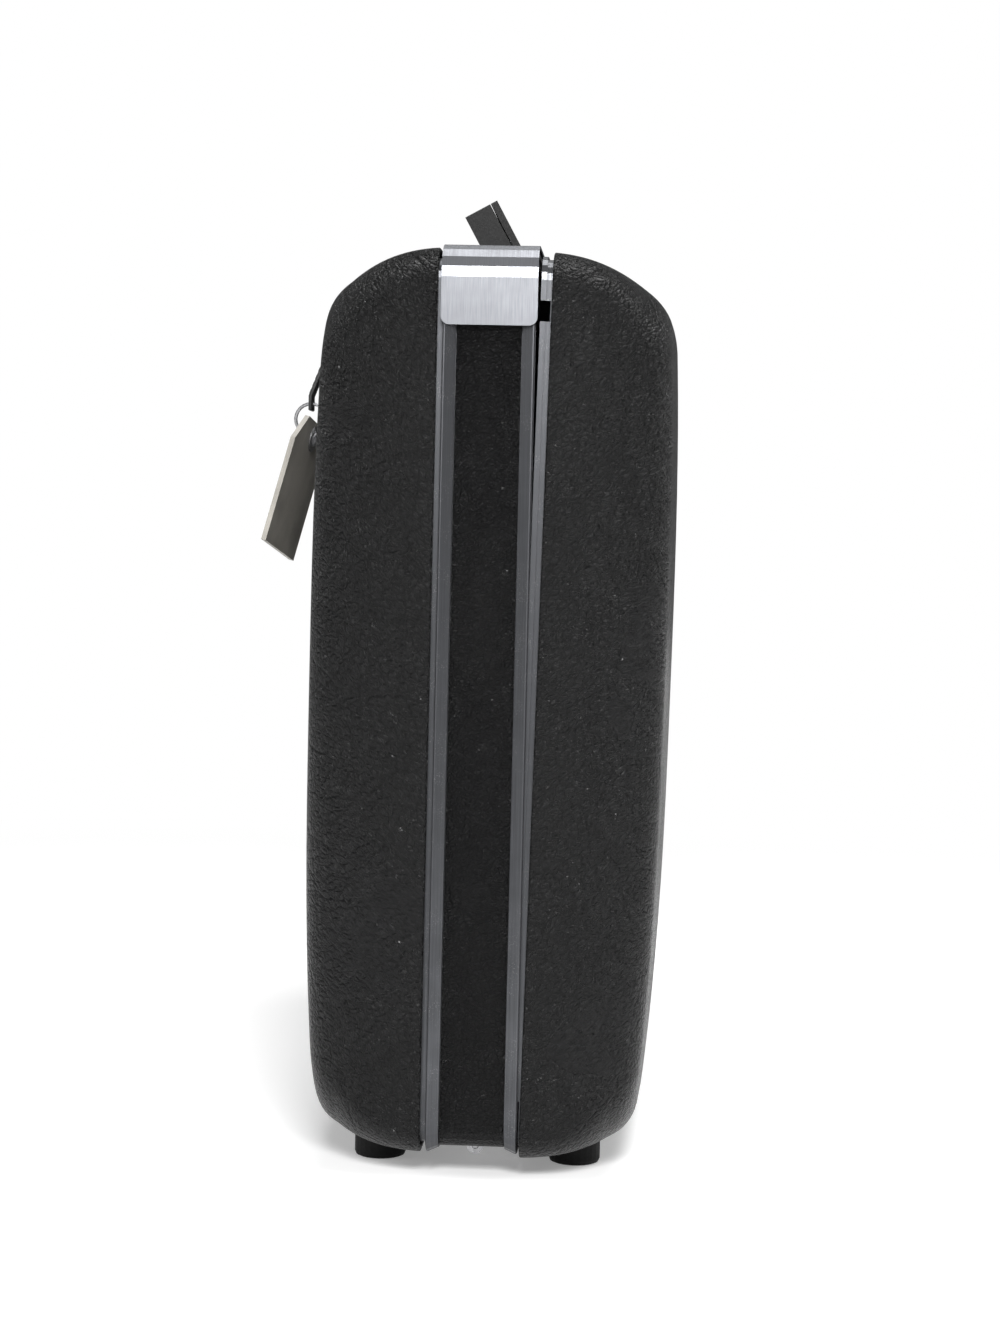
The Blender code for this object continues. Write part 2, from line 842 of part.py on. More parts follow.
# Document pocket: a thin panel that follows the lid lining
def pocket_surface():
    bm = bmesh.new()
    inner = shell_depth - lining_inset - lining_wall
    grid = []
    for row in range(pocket_rows):
        z = pocket_low + (pocket_high - pocket_low) * row / (pocket_rows - 1)
        line = []
        for column in range(pocket_columns):
            y = pocket_half_length * (2 * column / (pocket_columns - 1) - 1)
            x = lid_rim_x + inner - crown(y, z, shell_depth) - 3 * running_gap
            line.append(bm.verts.new((x, y, z)))
        grid.append(line)
    for first, second in zip(grid, grid[1:]):
        for index in range(1, pocket_columns):
            bm.faces.new((first[index - 1], first[index], second[index], second[index - 1]))
    bmesh.ops.recalc_face_normals(bm, faces=bm.faces)
    if sum(face.normal.x for face in bm.faces) > 0:
        bmesh.ops.reverse_faces(bm, faces=bm.faces)
    mesh = bpy.data.meshes.new("lid_pocket")
    bm.to_mesh(mesh)
    bm.free()
    mesh.shade_smooth()
    mesh.materials.append(lining_grey)
    thing = bpy.data.objects.new("lid_pocket", mesh)
    parts.objects.link(thing)
    thing.parent, thing.location = lid_frame_place
    solid = thing.modifiers.new("thickness", "SOLIDIFY")
    solid.thickness = pocket_wall
    solid.offset = 1
    return thing


lid_pocket = pocket_surface()


# Handle: brackets on the plate, pins, grip with its cover and steel core
def handle_outline(x, half_length, height, arm, depth, low):
    # A hoop in the YZ plane: two arms and a bar across their tops.
    inside = half_length - arm
    points = [
        (half_length, height),
        (half_length, -low),
        (inside, -low),
        (inside, height - depth),
        (-inside, height - depth),
        (-inside, -low),
        (-half_length, -low),
        (-half_length, height),
    ]
    return [Vector((x, y, z)) for y, z in points]


def handle_slab(name, low_x, high_x, material):
    outline = handle_outline(
        low_x, handle_half_length, handle_height, handle_arm, grip_depth, handle_half_thickness
    )
    return prism(name, outline, (high_x - low_x, 0, 0), material, handle_frame)


# Arm ends, round about the pivot
end_radius = handle_half_thickness - running_gap
end_profile = [(-handle_height, handle_height * 2), (-handle_height, 0)]
for step in range(small_steps + 1):
    angle = math.pi * (1 + step / small_steps)
    end_profile.append((end_radius * math.cos(angle), end_radius * math.sin(angle)))
end_profile += [(handle_height, 0), (handle_height, handle_height * 2)]
handle_ends = prism(
    "handle_ends",
    [Vector((x, -2 * handle_half_length, z)) for x, z in end_profile],
    (0, 4 * handle_half_length, 0),
    None,
    handle_frame,
)
seam_x = handle_half_thickness - cover_thickness
grip = handle_slab("handle_grip", -handle_half_thickness, seam_x - running_gap, handle_black)
cover = handle_slab("handle_cover", seam_x, handle_half_thickness, handle_black)
for thing, width in ((grip, grip_round), (cover, cover_round)):
    cut(thing, handle_ends, "INTERSECT")
    edges = thing.modifiers.new("rounded_edges", "BEVEL")
    edges.width = width
    edges.segments = 3
    edges.limit_method = "ANGLE"
    edges.angle_limit = bevel_angle

arm_centre = handle_half_length - handle_arm / 2
core_height = handle_height - grip_depth / 2
core_outline = handle_outline(
    seam_x - running_gap - core_thickness,
    arm_centre + core_width / 2,
    core_height + core_width / 2,
    core_width,
    core_width,
    core_width / 2,
)
core = prism("handle_core", core_outline, (core_thickness - running_gap, 0, 0), steel, handle_frame)
channel_outline = handle_outline(
    seam_x - 2 * running_gap - core_thickness,
    arm_centre + core_width / 2 + running_gap,
    core_height + core_width / 2 + running_gap,
    core_width + 2 * running_gap,
    core_width + 2 * running_gap,
    core_width / 2 + running_gap,
)
cut(grip, prism("core_channel", channel_outline, (core_thickness + 2 * running_gap, 0, 0), None, handle_frame))
pin_reach = bracket_length / 2
for side, end_name in ((-1, "near"), (1, "far")):
    centre = side * arm_centre
    pin_room = rod(
        f"handle_bore_{end_name}",
        (0, centre - pin_reach, 0),
        (0, centre + pin_reach, 0),
        handle_pin_radius + running_gap,
        None,
        handle_frame,
    )
    for thing in (grip, core):
        cut(thing, pin_room)

bracket_spots = []
bracket_low = plate_top_z + running_gap
bracket_high = bracket_low + bracket_base
ear_gap = handle_arm / 2 + running_gap * 2
for side, end_name in ((-1, "near"), (1, "far")):
    centre = side * arm_centre
    bracket = box(
        f"handle_bracket_{end_name}",
        (handle_pivot_x - bracket_half_width, centre - bracket_length / 2, bracket_low),
        (handle_pivot_x + bracket_half_width, centre + bracket_length / 2, bracket_high),
        steel,
        case_frame,
    )
    for ear_side in (-1, 1):
        edges = sorted((centre + ear_side * ear_gap, centre + ear_side * (ear_gap + ear_thickness)))
        ear_low = bracket_low + bracket_base / 2
        outline = [Vector((handle_pivot_x - ear_radius, edges[0], ear_low))]
        for step in range(small_steps + 1):
            angle = math.pi * (1 - step / small_steps)
            x = handle_pivot_x + ear_radius * math.cos(angle)
            z = handle_pivot_z + ear_radius * math.sin(angle)
            outline.append(Vector((x, edges[0], z)))
        outline.append(Vector((handle_pivot_x + ear_radius, edges[0], ear_low)))
        ear = prism(f"{bracket.name}_ear_{ear_side}", outline, (0, ear_thickness, 0), None, case_frame)
        cut(bracket, ear, "UNION")
    bore_ends = (centre - bracket_length, centre + bracket_length)
    cut(
        bracket,
        rod(
            f"{bracket.name}_bore",
            (handle_pivot_x, bore_ends[0], handle_pivot_z),
            (handle_pivot_x, bore_ends[1], handle_pivot_z),
            handle_pin_radius + running_gap,
            None,
            case_frame,
        ),
    )
    rod(
        f"handle_pin_{end_name}",
        (handle_pivot_x, centre - bracket_length / 2 - running_gap, handle_pivot_z),
        (handle_pivot_x, centre + bracket_length / 2 + running_gap, handle_pivot_z),
        handle_pin_radius,
        steel,
        case_frame,
    )
    rivet_levels = (
        (web_under_z - running_gap - rivet_head, web_under_z - running_gap, rivet_head_radius),
        (web_under_z - running_gap, bracket_high, rivet_radius),
    )
    spots = []
    for half_side, half_name in ((-1, "base"), (1, "lid")):
        rivet_x = handle_pivot_x + half_side * bracket_rivet_reach
        spots.append((rivet_x, centre))
        rivet(f"bracket_rivet_{end_name}_{half_name}_side", rivet_x, centre, rivet_levels, case_frame)
    bracket_spots += spots
    cut(
        bracket,
        bores(
            f"{bracket.name}_rivet_bores",
            spots,
            rivet_room,
            bracket_low - overrun,
            bracket_high + overrun,
            case_frame,
        ),
    )
through_low = web_under_z - overrun
through_high = plate_top_z + overrun
for thing in (top_plate, base_frame):
    cut(
        thing,
        bores(
            f"{thing.name}_bracket_bores",
            bracket_spots,
            rivet_room,
            through_low,
            through_high,
            case_frame,
        ),
    )

# Latches and locks, one pair at each end; out is the way that the bolt travels to latch
bolt_high = web_under_z - bolt_drop
bolt_low = bolt_high - bolt_thickness
tray_floor = bolt_low - tray_gap
striker_spots = []
for side, end_name in ((-1, "near"), (1, "far")):

    def along(distance, side=side):
        return side * (latch_y + distance)

    def slab(name, x_low, x_high, start, end, low, high, material, place=case_frame):
        ends = sorted((along(start), along(end)))
        return box(name, (x_low, ends[0], low), (x_high, ends[1], high), material, place)

    thumb = slab(
        f"latch_thumb_{end_name}",
        thumb_x - thumb_half_width,
        thumb_x + thumb_half_width,
        -thumb_half_length,
        thumb_half_length,
        plate_top_z + running_gap,
        plate_top_z + running_gap + thumb_height,
        plate_grey,
    )
    rounding = thumb.modifiers.new("rounded_edges", "BEVEL")
    rounding.width = thumb_round
    rounding.segments = 2
    neck = slab(
        f"thumb_neck_{end_name}",
        thumb_x - neck_half_width,
        thumb_x + neck_half_width,
        -neck_half_length,
        neck_half_length,
        bolt_high + running_gap,
        plate_top_z + running_gap + thumb_height / 2,
        None,
    )
    cut(thumb, neck, "UNION")
    slot = slab(
        f"thumb_slot_{end_name}",
        thumb_x - neck_half_width - running_gap,
        thumb_x + neck_half_width + running_gap,
        -neck_half_length - running_gap,
        neck_half_length + latch_travel + 2 * running_gap,
        web_under_z - overrun,
        plate_top_z + overrun,
        None,
    )
    cut(base_frame, slot)
    cut(top_plate, slot)

    bolt = slab(
        f"latch_bolt_{end_name}",
        bolt_x - bolt_half_width,
        bolt_x + bolt_half_width,
        -bolt_back,
        bolt_front,
        bolt_low,
        bolt_high,
        steel,
    )
    arm = slab(
        f"bolt_arm_{end_name}",
        bolt_x,
        prong_x + prong_half_width,
        bolt_front - arm_length,
        bolt_front,
        bolt_low,
        bolt_high,
        None,
    )
    prong = slab(
        f"bolt_prong_{end_name}",
        prong_x - prong_half_width,
        prong_x + prong_half_width,
        bolt_front - arm_length / 2,
        bolt_front + prong_length,
        bolt_low,
        bolt_high,
        None,
    )
    cut(bolt, arm, "UNION")
    cut(bolt, prong, "UNION")
    lock_at = along(-lock_y)
    pocket = rod(
        f"bolt_pocket_{end_name}",
        (-lock_x, lock_at, bolt_low - overrun),
        (-lock_x, lock_at, bolt_high + overrun),
        cam_pocket_radius,
        None,
        case_frame,
        round_steps,
    )
    cut(bolt, pocket)

    tray = slab(
        f"latch_case_{end_name}",
        -tray_back_x,
        tray_front_x,
        -tray_back - latch_travel / 2,
        tray_front,
        tray_floor - tray_wall,
        web_under_z - running_gap,
        plate_grey,
    )
    hollow = slab(
        f"case_hollow_{end_name}",
        tray_wall - tray_back_x,
        tray_front_x + overrun,
        tray_wall - tray_back - latch_travel / 2,
        tray_front - tray_wall,
        tray_floor,
        web_under_z + overrun,
        None,
    )
    cut(tray, hollow)

    cylinder = rod(
        f"lock_cylinder_{end_name}",
        (-lock_x, lock_at, bolt_high + running_gap),
        (-lock_x, lock_at, plate_top_z + lock_proud),
        lock_radius,
        steel,
        case_frame,
        round_steps,
    )
    key_slot = box(
        f"key_slot_{end_name}",
        (-lock_x - key_slot_width / 2, lock_at - key_slot_length / 2, plate_top_z + lock_proud - key_slot_depth),
        (-lock_x + key_slot_width / 2, lock_at + key_slot_length / 2, plate_top_z + lock_proud + overrun),
        None,
        case_frame,
    )
    cut(cylinder, key_slot)
    lock_room = rod(
        f"lock_room_{end_name}",
        (-lock_x, lock_at, web_under_z - overrun),
        (-lock_x, lock_at, plate_top_z + overrun),
        lock_radius + running_gap,
        None,
        case_frame,
        round_steps,
    )
    cut(base_frame, lock_room)
    cut(top_plate, lock_room)
    cam = rod(
        f"lock_cam_{end_name}",
        (-lock_x, lock_at, bolt_low),
        (-lock_x, lock_at, bolt_low + cam_thickness),
        cam_radius,
        steel,
        case_frame,
        round_steps,
    )
    cam_cut = box(
        f"cam_flat_{end_name}",
        (cam_flat - lock_x, lock_at - 2 * cam_radius, bolt_low - overrun),
        (2 * cam_radius - lock_x, lock_at + 2 * cam_radius, bolt_high + overrun),
        None,
        case_frame,
    )
    cut(cam, cam_cut)

    # A bowed strip that bears on the bolt's edge
    spring_edge = bolt_x - bolt_half_width - running_gap
    bow = []
    for step in range(corner_steps * 2 + 1):
        share = step / (corner_steps * 2)
        y = along(spring_half_length * (2 * share - 1))
        bow.append((spring_edge - spring_bow * (2 * share - 1) ** 2, y))
    outline = [Vector((x, y, bolt_low)) for x, y in bow]
    outline += [Vector((x - spring_thickness, y, bolt_low)) for x, y in reversed(bow)]
    prism(f"latch_spring_{end_name}", outline, (0, 0, cam_thickness), steel, case_frame)

    striker = slab(
        f"striker_{end_name}",
        striker_tip_x,
        striker_reach,
        striker_y - striker_half_length,
        striker_y + striker_half_length,
        bolt_low,
        bolt_high,
        steel,
        lid_frame_place,
    )
    window = slab(
        f"striker_window_{end_name}",
        striker_tip_x + striker_web,
        striker_tip_x + striker_web + striker_window,
        striker_y - striker_half_length - overrun,
        striker_y + striker_notch,
        bolt_low - overrun,
        bolt_high + overrun,
        None,
        lid_frame_place,
    )
    cut(striker, window)
    striker_spots.append((lid_rivet_x, along(striker_y)))
    cut(
        striker,
        bores(
            f"striker_bore_{end_name}",
            striker_spots[-1:],
            rivet_room,
            bolt_low - overrun,
            bolt_high + overrun,
            lid_frame_place,
        ),
    )

lid_flange_top_z = band_high - lid_flange_depth
cut(
    lid_frame,
    bores(
        "striker_rivet_bores",
        striker_spots,
        rivet_room,
        lid_flange_top_z - flange_thickness - overrun,
        lid_flange_top_z + overrun,
        lid_frame_place,
    ),
)
striker_levels = (
    (bolt_low - running_gap - rivet_head, bolt_low - running_gap, rivet_head_radius),
    (bolt_low - running_gap, lid_flange_top_z, rivet_radius),
)
for (rivet_x, rivet_y), end_name in zip(striker_spots, ("near", "far")):
    rivet(f"striker_rivet_{end_name}", rivet_x, rivet_y, striker_levels, lid_frame_place)


# Lid stays
def arc_points(radius, start, end, steps):
    points = []
    for step in range(steps + 1):
        angle = start + (end - start) * step / steps
        points.append((radius * math.cos(angle), hinge_height + radius * math.sin(angle)))
    return points


def arc_slab(name, inner, outer, start, end, y_low, y_high, material, place):
    outline = arc_points(outer, start, end, small_steps)
    outline += list(reversed(arc_points(inner, start, end, small_steps)))
    points = [Vector((x, y_low, z)) for x, z in outline]
    return prism(name, points, (0, y_high - y_low, 0), material, place)


frame_inside_y = band_half_length - web_depth - web_thickness
lid_inside_y = band_half_length - lid_flange_depth - flange_thickness
stay_inner = stay_radius - stay_half_width
stay_outer = stay_radius + stay_half_width
foot_x_middle = (lid_inner_x + lid_flange_end) / 2
foot_z_middle = hinge_height + math.sqrt(stay_radius**2 - foot_x_middle**2)
for side, end_name in ((-1, "near"), (1, "far")):
    faces = sorted((side * (stay_y - stay_thickness / 2), side * (stay_y + stay_thickness / 2)))
    arm = arc_slab(
        f"stay_arm_{end_name}",
        stay_inner,
        stay_outer,
        stay_start,
        stay_end,
        faces[0],
        faces[1],
        steel,
        lid_frame_place,
    )
    foot_edges = sorted((side * (stay_y - stay_thickness / 2), side * (lid_inside_y - running_gap)))
    foot = box(
        f"stay_foot_{end_name}",
        (lid_inner_x + running_gap, foot_edges[0], foot_z_middle - stay_foot_length / 2),
        (lid_flange_end - running_gap, foot_edges[1], foot_z_middle + stay_foot_length / 2),
        None,
        lid_frame_place,
    )
    cut(arm, foot, "UNION")
    stop_x = stay_radius * math.cos(stay_stop_angle)
    stop_z = hinge_height + stay_radius * math.sin(stay_stop_angle)
    stop = rod(
        f"stay_stop_{end_name}",
        (stop_x, side * stay_y - stay_stop_length / 2, stop_z),
        (stop_x, side * stay_y + stay_stop_length / 2, stop_z),
        stay_stop_radius,
        steel,
        lid_frame_place,
    )
    stop_room = rod(
        f"stay_stop_room_{end_name}",
        (stop_x, side * stay_y - stay_stop_length, stop_z),
        (stop_x, side * stay_y + stay_stop_length, stop_z),
        stay_stop_radius + running_gap,
        None,
        lid_frame_place,
    )
    cut(arm, stop_room)
    guide_middle = (guide_low_x + guide_high_x) / 2
    guide_z = hinge_height + math.sqrt(stay_radius**2 - guide_middle**2)
    outer_y = side * (frame_inside_y - running_gap)
    inner_y = side * (stay_y - stay_thickness / 2 - guide_clearance - guide_wall)
    guide_edges = sorted((outer_y, inner_y))
    guide = box(
        f"stay_guide_{end_name}",
        (guide_low_x, guide_edges[0], guide_z - guide_half_height),
        (guide_high_x, guide_edges[1], guide_z + guide_half_height),
        steel,
        case_frame,
    )
    reach = stay_thickness / 2 + guide_clearance
    slot_edges = sorted((side * (stay_y - reach), side * (stay_y + reach)))
    guide_slot = arc_slab(
        f"guide_slot_{end_name}",
        stay_inner - guide_clearance,
        stay_outer + guide_clearance,
        stay_start,
        guide_slot_end,
        slot_edges[0],
        slot_edges[1],
        None,
        case_frame,
    )
    cut(guide, guide_slot)

# Luggage tag: a chamfered plate with an eyelet, a ring and a strap from the near handle bracket
half_width = tag_width / 2
tag_outline = [
    (-half_width, tag_hole_inset - tag_length),
    (half_width, tag_hole_inset - tag_length),
    (half_width, tag_hole_inset - tag_chamfer),
    (half_width - tag_chamfer, tag_hole_inset),
    (tag_chamfer - half_width, tag_hole_inset),
    (-half_width, tag_hole_inset - tag_chamfer),
]
tag_points = [Vector((-tag_thickness / 2, y, z)) for y, z in tag_outline]
tag = prism("luggage_tag", tag_points, (tag_thickness, 0, 0), tag_grey, tag_frame)
tag_bore_radius = tag_hole_radius + eyelet_wall + running_gap
cut(
    tag,
    rod(
        "tag_bore",
        (-tag_thickness, 0, 0),
        (tag_thickness, 0, 0),
        tag_bore_radius,
        None,
        tag_frame,
        round_steps,
    ),
)


def turned_ring(name, section, material, place):
    # A closed section of (x, radius), turned about X.
    bm = bmesh.new()
    rings = []
    for x, radius in section:
        points = []
        for step in range(round_steps):
            angle = 2 * math.pi * step / round_steps
            points.append((x, radius * math.cos(angle), radius * math.sin(angle)))
        rings.append(add_ring(bm, points))
    bridge(bm, rings, True)
    return add_object(name, bm, material, place)


lip_x = tag_thickness / 2 + running_gap
lip_radius = tag_bore_radius + eyelet_wall
turned_ring(
    "tag_eyelet",
    [
        (-lip_x - eyelet_lip, tag_hole_radius),
        (-lip_x - eyelet_lip, lip_radius),
        (-lip_x, lip_radius),
        (-lip_x, tag_hole_radius + eyelet_wall),
        (lip_x, tag_hole_radius + eyelet_wall),
        (lip_x, lip_radius),
        (lip_x + eyelet_lip, lip_radius),
        (lip_x + eyelet_lip, tag_hole_radius),
    ],
    steel,
    tag_frame,
)


def shell_top_point(depth, lift):
    # A point above the base shell's sloping top.
    drop = wall_drop(depth, top_slope_shares)
    slope = math.atan(wall_slope(depth, top_slope_shares))
    x = -(base_rim_x + depth) - lift * math.sin(slope)
    return Vector((x, 0, band_high + shell_proud - drop + lift * math.cos(slope)))


ring_middle = Vector((tag_pivot.x, tag_pivot.y, tag_pivot.z + ring_radius))
ring_bm = bmesh.new()
ring_rings = []
for step in range(round_steps):
    angle = 2 * math.pi * step / round_steps
    centre = ring_middle + Vector((ring_radius * math.cos(angle), 0, ring_radius * math.sin(angle)))
    outward = (centre - ring_middle).normalized()
    points = []
    for turn in range(corner_steps + 1):
        spin = 2 * math.pi * turn / (corner_steps + 1)
        points.append(
            centre + outward * ring_wire * math.cos(spin) + Vector((0, ring_wire * math.sin(spin), 0))
        )
    ring_rings.append(add_ring(ring_bm, points))
bridge(ring_bm, ring_rings, True)
add_object("tag_ring", ring_bm, steel, ring_frame)

edge_depth = shell_depth * wall_depth_share
shoulder = shell_top_point(edge_depth, strap_lift)
ring_top = ring_middle + Vector((strap_thickness / 2, 0, ring_radius))
strap_start_x = handle_pivot_x - bracket_half_width - running_gap
strap_route = [
    Vector((strap_start_x, 0, plate_top_z + running_gap)),
    Vector((-plate_half_width, 0, plate_top_z + running_gap)),
]
strap_route += [shell_top_point(edge_depth * share, strap_lift) for share in strap_route_shares]
strap_route += [
    shoulder + Vector((-strap_shoulder, 0, -strap_shoulder_drop)),
    ring_top + Vector((0, 0, strap_tail)),
    ring_top - Vector((0, 0, strap_tail)),
]
strap_outline = []
for offset in (0, strap_thickness):
    row = []
    for index, point in enumerate(strap_route):
        before = strap_route[max(index - 1, 0)]
        after = strap_route[min(index + 1, len(strap_route) - 1)]
        run = (after - before).normalized()
        normal = Vector((run.z, 0, -run.x))
        row.append(point + normal * offset)
    strap_outline += row if offset == 0 else list(reversed(row))
strap_y = tag_pivot.y - strap_width / 2
strap_points = [Vector((point.x, strap_y, point.z)) for point in strap_outline]
strap = prism("tag_strap", strap_points, (0, strap_width, 0), strap_black, case_frame)
cut(
    strap,
    rod(
        "strap_hole",
        (ring_top.x - 2 * strap_thickness, ring_middle.y, ring_top.z),
        (ring_top.x + strap_thickness, ring_middle.y, ring_top.z),
        ring_wire + ring_hole_gap,
        None,
        case_frame,
    ),
)

bpy.context.view_layer.update()
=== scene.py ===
import json
import math

import bmesh
import bpy
from mathutils import Euler, Matrix, Vector


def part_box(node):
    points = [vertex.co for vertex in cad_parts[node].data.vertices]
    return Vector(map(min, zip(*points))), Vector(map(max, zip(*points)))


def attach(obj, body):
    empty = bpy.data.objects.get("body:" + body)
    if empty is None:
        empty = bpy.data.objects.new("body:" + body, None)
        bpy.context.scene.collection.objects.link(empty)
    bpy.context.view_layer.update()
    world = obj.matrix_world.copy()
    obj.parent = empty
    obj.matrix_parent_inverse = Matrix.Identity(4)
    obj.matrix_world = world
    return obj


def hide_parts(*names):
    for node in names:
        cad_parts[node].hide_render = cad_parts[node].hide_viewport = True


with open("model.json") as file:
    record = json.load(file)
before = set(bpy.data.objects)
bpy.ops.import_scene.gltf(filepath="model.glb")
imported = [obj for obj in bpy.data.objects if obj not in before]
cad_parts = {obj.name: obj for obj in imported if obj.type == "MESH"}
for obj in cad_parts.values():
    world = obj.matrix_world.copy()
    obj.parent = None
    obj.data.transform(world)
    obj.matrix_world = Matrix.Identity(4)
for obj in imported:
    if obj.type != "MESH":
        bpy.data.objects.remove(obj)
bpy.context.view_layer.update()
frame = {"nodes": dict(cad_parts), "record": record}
nodes = frame["nodes"]
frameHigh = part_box("base_frame")[1]
bandHalfWidth = 0.01675
caseX = frameHigh.x - bandHalfWidth  # the middle of the band

# Camera, matched to the photo
cameraSet = {
    "place": (0.0628, -1.2173, 0.2291),
    "yaw": math.radians(-3.235),
    "pitch": math.radians(2.309),
    "roll": math.radians(1.334),
    "focalPixels": 2736,
    "photoHeight": 1333,
    "sensor": 36,
}


def makeCamera(values):
    data = bpy.data.cameras.new("camera")
    data.sensor_fit = "VERTICAL"
    data.sensor_height = values["sensor"]
    data.lens = values["sensor"] * values["focalPixels"] / values["photoHeight"]
    data.clip_start = 0.05
    camera = bpy.data.objects.new("camera", data)
    camera.location = Vector(values["place"]) + Vector((caseX, 0, 0))
    turn = Euler((math.pi / 2 - values["pitch"], 0, -values["yaw"]), "XYZ").to_matrix()
    roll = Euler((0, 0, values["roll"]), "XYZ").to_matrix()
    camera.rotation_euler = (turn @ roll).to_euler()
    bpy.context.scene.collection.objects.link(camera)
    bpy.context.scene.camera = camera


makeCamera(cameraSet)
print("camera placed")


# Shader helpers
class Tree:
    def __init__(self, tree):
        self.tree = tree
        self.nodes = tree.nodes
        self.links = tree.links

    def add(self, kind, values=None, **settings):
        node = self.nodes.new(kind)
        for key, value in settings.items():
            setattr(node, key, value)
        for key, value in (values or {}).items():
            if isinstance(value, bpy.types.NodeSocket):
                self.links.new(value, node.inputs[key])
            else:
                node.inputs[key].default_value = value
        return node

    def math(self, operation, first, second=0.5, clamp=False):
        node = self.add("ShaderNodeMath", {0: first, 1: second}, operation=operation)
        node.use_clamp = clamp
        return node.outputs[0]

    def ramp(self, value, low, high, start=0.0, end=1.0):
        node = self.add(
            "ShaderNodeMapRange",
            {"Value": value, "From Min": low, "From Max": high, "To Min": start, "To Max": end},
            interpolation_type="SMOOTHSTEP",
        )
        return node.outputs[0]

    def mix(self, factor, first, second):
        node = self.add("ShaderNodeMix", data_type="RGBA")
        for index, value in ((0, factor), (6, first), (7, second)):
            if isinstance(value, bpy.types.NodeSocket):
                self.links.new(value, node.inputs[index])
            else:
                node.inputs[index].default_value = value
        return node.outputs[2]


def makeGroup(name, inputs, outputs):
    group = bpy.data.node_groups.new(name, "ShaderNodeTree")
    for label, kind, value in inputs:
        socket = group.interface.new_socket(label, in_out="INPUT", socket_type=kind)
        if value is not None:
            socket.default_value = value
    for label, kind in outputs:
        group.interface.new_socket(label, in_out="OUTPUT", socket_type=kind)
    tree = Tree(group)
    return tree, tree.add("NodeGroupInput"), tree.add("NodeGroupOutput")


def makeLeatherGrain():
    # Pebbles pulled out along one direction, broken by long creases that cross them. The valley mask marks the
    # dips between pebbles, where the materials paint shade into the colour
    inputs = [
        ("Position", "NodeSocketVector", None),
        ("Pebble Size", "NodeSocketFloat", 0.0016),
        ("Stretch", "NodeSocketFloat", 1.6),
        ("Crease Amount", "NodeSocketFloat", 0.6),
    ]
    outputs = [(label, "NodeSocketFloat") for label in ("Height", "Valley Shade", "Patch")]
    tree, start, end = makeGroup("leatherGrain", inputs, outputs)
    place = start.outputs["Position"]
    wander = tree.add("ShaderNodeTexNoise", {"Vector": place, "Scale": 55.0, "Detail": 3.0})
    pull = tree.add(
        "ShaderNodeVectorMath", {0: wander.outputs["Color"], 1: (0.5, 0.5, 0.5)}, operation="SUBTRACT"
    )
    push = tree.add("ShaderNodeVectorMath", {0: pull.outputs[0]}, operation="SCALE")
    push.inputs["Scale"].default_value = 0.006
    moved = tree.add("ShaderNodeVectorMath", {0: place, 1: push.outputs[0]}, operation="ADD").outputs[0]
    apart = tree.add("ShaderNodeSeparateXYZ", {0: moved})
    long = tree.math("DIVIDE", apart.outputs[0], start.outputs["Stretch"])
    squeezed = tree.add("ShaderNodeCombineXYZ", {0: long, 1: apart.outputs[1], 2: apart.outputs[2]}).outputs[0]
    count = tree.math("DIVIDE", 1.0, start.outputs["Pebble Size"])
    cells = tree.add("ShaderNodeTexVoronoi", {"Vector": squeezed, "Scale": count, "Randomness": 0.9})
    cells.feature = "DISTANCE_TO_EDGE"
    pebble = tree.ramp(cells.outputs["Distance"], 0.0, 0.32)
    smallCount = tree.math("MULTIPLY", count, 2.3)
    small = tree.add("ShaderNodeTexVoronoi", {"Vector": moved, "Scale": smallCount, "Randomness": 1.0})
    small.feature = "DISTANCE_TO_EDGE"
    smallPebble = tree.ramp(small.outputs["Distance"], 0.0, 0.25)
    creaseCount = tree.math("MULTIPLY", count, 0.11)
    crease = tree.add(
        "ShaderNodeTexVoronoi", {"Vector": squeezed, "Scale": creaseCount, "Randomness": 1.0}
    )
    crease.feature = "DISTANCE_TO_EDGE"
    creaseLine = tree.ramp(crease.outputs["Distance"], 0.0, 0.045)
    patches = tree.add("ShaderNodeTexNoise", {"Vector": place, "Scale": 16.0, "Detail": 2.0})
    fold = tree.math("MULTIPLY", tree.math("SUBTRACT", creaseLine, 1.0), start.outputs["Crease Amount"])
    grain = tree.math("ADD", tree.math("MULTIPLY", pebble, 0.7), tree.math("MULTIPLY", smallPebble, 0.3))
    height = tree.math("ADD", grain, fold)
    tree.links.new(height, end.inputs["Height"])
    tree.links.new(pebble, end.inputs["Valley Shade"])
    tree.links.new(patches.outputs[0], end.inputs["Patch"])
    return tree.tree


def makeBrushed():
    # Fine lines along one direction, with a blotchy sheen over them
    inputs = [
        ("Position", "NodeSocketVector", None),
        ("Line Pitch", "NodeSocketFloat", 0.0002),
        ("Line Length", "NodeSocketFloat", 0.02),
    ]
    outputs = [("Lines", "NodeSocketFloat"), ("Blotch", "NodeSocketFloat")]
    tree, start, end = makeGroup("brushedMetal", inputs, outputs)
    apart = tree.add("ShaderNodeSeparateXYZ", {0: start.outputs["Position"]})
    across = tree.math("DIVIDE", 1.0, start.outputs["Line Pitch"])
    along = tree.math("DIVIDE", 1.0, start.outputs["Line Length"])
    spread = tree.add(
        "ShaderNodeCombineXYZ",
        {
            0: tree.math("MULTIPLY", apart.outputs[0], across),
            1: tree.math("MULTIPLY", apart.outputs[1], along),
            2: tree.math("MULTIPLY", apart.outputs[2], along),
        },
    ).outputs[0]
    lines = tree.add("ShaderNodeTexNoise", {"Vector": spread, "Scale": 1.0, "Detail": 4.0})
    blotch = tree.add(
        "ShaderNodeTexNoise", {"Vector": start.outputs["Position"], "Scale": 90.0, "Detail": 4.0}
    )
    tree.links.new(lines.outputs[0], end.inputs["Lines"])
    tree.links.new(blotch.outputs[0], end.inputs["Blotch"])
    return tree.tree


